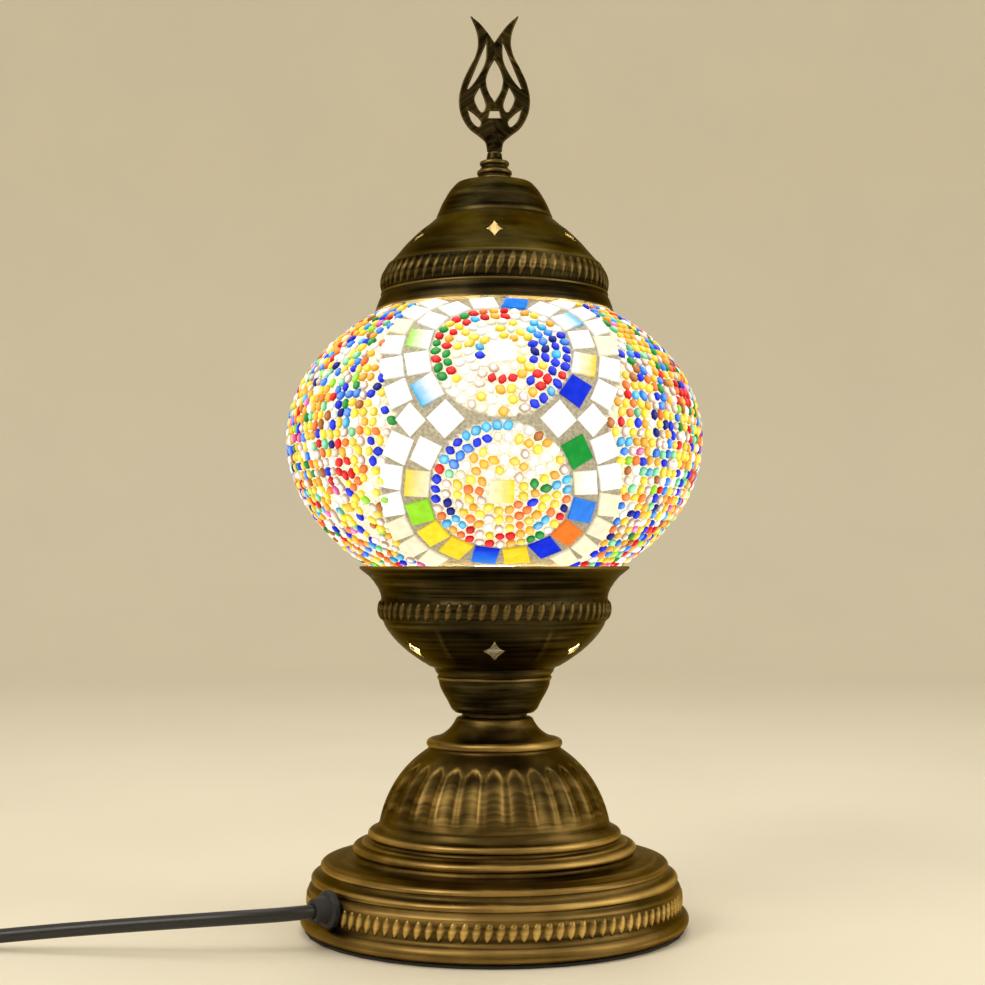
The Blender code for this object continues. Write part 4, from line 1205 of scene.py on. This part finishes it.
def make_beads(name, panels, strength, radius):
    """Make one piece from (azimuth, beads) pairs, each bead being (u, v, colour)."""
    template, core, faces = bead_template()
    soup = Soup()
    for azimuth, beads in panels:
        u, v, colours = zip(*beads)
        for colour, point, right, up, out in zip(colours, *globe.place(u, v, azimuth)):
            size, tall = radius * random.uniform(0.9, 1.08), random.uniform(1.15, 1.42)
            spin = random.uniform(0, pi)
            long = random.uniform(1, 1.18)
            x = template[:, 0] * size * long
            y = template[:, 1] * size / long
            x, y = x * cos(spin) - y * sin(spin), x * sin(spin) + y * cos(spin)
            z = template[:, 2] * tall
            shape = point + x[:, None] * right + y[:, None] * up + z[:, None] * out
            tint = np.array(COLOURS[colour])
            tint[:3] *= random.uniform(0.8, 1.15)
            soup.add(shape, faces, tint=np.repeat(tint[None], len(shape), axis=0), core=core)
    finish_piece(soup.build(name, lit_glass(name + "_glass", strength, 0.08)), "globe", "mosaic")


def grout_material():
    """Pale grout that lets more light through among the beads than round the tiles."""
    n = Nodes("grout")
    grain = n.noise(n.place, 900, 4)
    colour = n.ramp(grain, (0.3, srgb(144, 138, 120)), (0.7, srgb(190, 183, 162)))
    n.set(Base_Color=colour, Emission_Color=n.scale(colour, n.stored("lit")["Fac"]))
    n.set(Roughness=0.85, Emission_Strength=1)
    n.bump(grain, 0.0003, 0.7)
    return n.material


def make_grout():
    """The skin that holds the mosaic, from its lower edge to its upper one."""
    def side(inset):
        angles = np.radians(np.linspace(60, -60, 120))
        radius = (GLOBE_RADIUS - inset) * np.cos(angles)
        z = CENTRE_Z + np.where(angles > 0, UPPER - inset, LOWER - inset) * np.sin(angles)
        keep = ((angles > 0) & (radius > 44.5)) | ((angles <= 0) & (radius > 49))
        return list(zip(radius[keep], z[keep]))

    soup = Soup()
    lathe(soup, side(GROUT_INSET) + side(2.15)[::-1], 300, edge_amount=0)
    x, y, z = soup.points[0].T
    v = np.interp(z, globe.z, globe.v)
    turn = from_panel(np.arctan2(y, x) - radians(PANEL_AZIMUTH))
    reach = panel_reach(turn * np.interp(v, globe.v, globe.radius), v)
    soup.values["lit"] = [np.where((reach > 26) & (reach < 47.4), 0.35, 2).reshape(-1, 1)]
    finish_piece(soup.build("mosaic_grout", grout_material()), "globe", "mosaic", "mosaic_skin")


def make_glass():
    """The blown globe behind the mosaic, whose two necks stay clear."""
    def side(inset, low_radius, high_radius):
        radius, upper, lower = GLOBE_RADIUS - inset, UPPER - inset, LOWER - inset
        z_high = CENTRE_Z + upper * sqrt(1 - (high_radius / radius) ** 2)
        z_low = CENTRE_Z - lower * sqrt(1 - (low_radius / radius) ** 2)
        above = oval(radius, upper, CENTRE_Z, z_high, CENTRE_Z, 40)
        return above + oval(radius, lower, CENTRE_Z, CENTRE_Z, z_low, 40)[1:]

    top = arc((40, 253.7), 0.3, 180, 90, 3) + arc((41.7, 253.7), 0.3, 90, 0, 3)
    bottom = [(46, 138.6)] + arc((45.4, 138.4), 0.4, 0, -90, 3) + arc((44.1, 138.4), 0.4, -90, -180, 3)
    soup = Soup()
    lathe(soup, top + side(2.3, 46, 42) + bottom + side(4.8, 43.7, 39.7)[::-1], 180, edge_amount=0)
    finish_piece(soup.build("globe_glass_shape", sharp=40), "globe", "globe_glass", "globe_glass")


def make_mosaic():
    make_glass()
    make_grout()
    make_tiles()
    panels = [(azimuth, medallion_beads()) for azimuth in panel_azimuths()]
    make_beads("mosaic_medallion_beads", panels, 1.2, 1.84)
    field = field_beads()
    size = ceil(len(field) / 3)
    for part in range(3):
        share = field[part * size : (part + 1) * size]
        make_beads("mosaic_field_beads_%d" % (part + 1), [(PANEL_AZIMUTH, share)], 1.15, 1.86)


make_mosaic()


# ---------------------------------------------------------------- looks of the CAD pieces that stay

slot_of = {part["node"]: part["material_slot"] for part in frame["record"]["subparts"]}
for name, obj in nodes.items():
    if not obj.hide_render:
        look = LOOKS[slot_of[name]]
        if obj.data.materials:
            for index in range(len(obj.data.materials)):
                obj.data.materials[index] = look
        else:
            obj.data.materials.append(look)


# ---------------------------------------------------------------- floor and light


def make_stage():
    """Pale floor that curves up all round into a plain wall."""
    soup = Soup()
    profile = [(0.01, 0), (300, 0), (900, 0), (1300, 0)] + arc((1500, 800), 800, -90, 0, 16) + [(2300, 1900)]
    lathe(soup, profile, 96, closed=False, edge_amount=0)
    studio = soup.build("studio", plain("studio_paint", (236, 229, 210), 0, 0.5, 6, tone=0.015))
    studio.data.flip_normals()
    studio.location = (0, 0, -0.0002)


def area_light(name, location, target, size, power, colour):
    data = bpy.data.lights.new(name, "AREA")
    data.shape = "RECTANGLE"
    data.size, data.size_y = size
    data.energy = power
    data.color = colour
    light = link(name, data)
    light.location = location
    light.rotation_euler = (Vector(target) - Vector(location)).to_track_quat("-Z", "Y").to_euler()


def make_world():
    world = bpy.data.worlds.new("sky")
    scene.world = world
    world.use_nodes = True
    background = world.node_tree.nodes["Background"]
    background.inputs["Color"].default_value = (1, 0.94, 0.83, 1)
    background.inputs["Strength"].default_value = 0.68


make_stage()
make_world()
area_light("key", (-0.75, -0.75, 0.95), (0, 0, 0.12), (0.5, 0.7), 6.5, (1, 0.95, 0.86))
area_light("fill", (0.95, -0.35, 0.55), (0, 0, 0.15), (0.4, 0.9), 3.2, (1, 0.96, 0.9))
area_light("top", (0.05, 0.25, 1.3), (0, 0, 0.1), (0.9, 0.9), 4.5, (1, 0.97, 0.9))
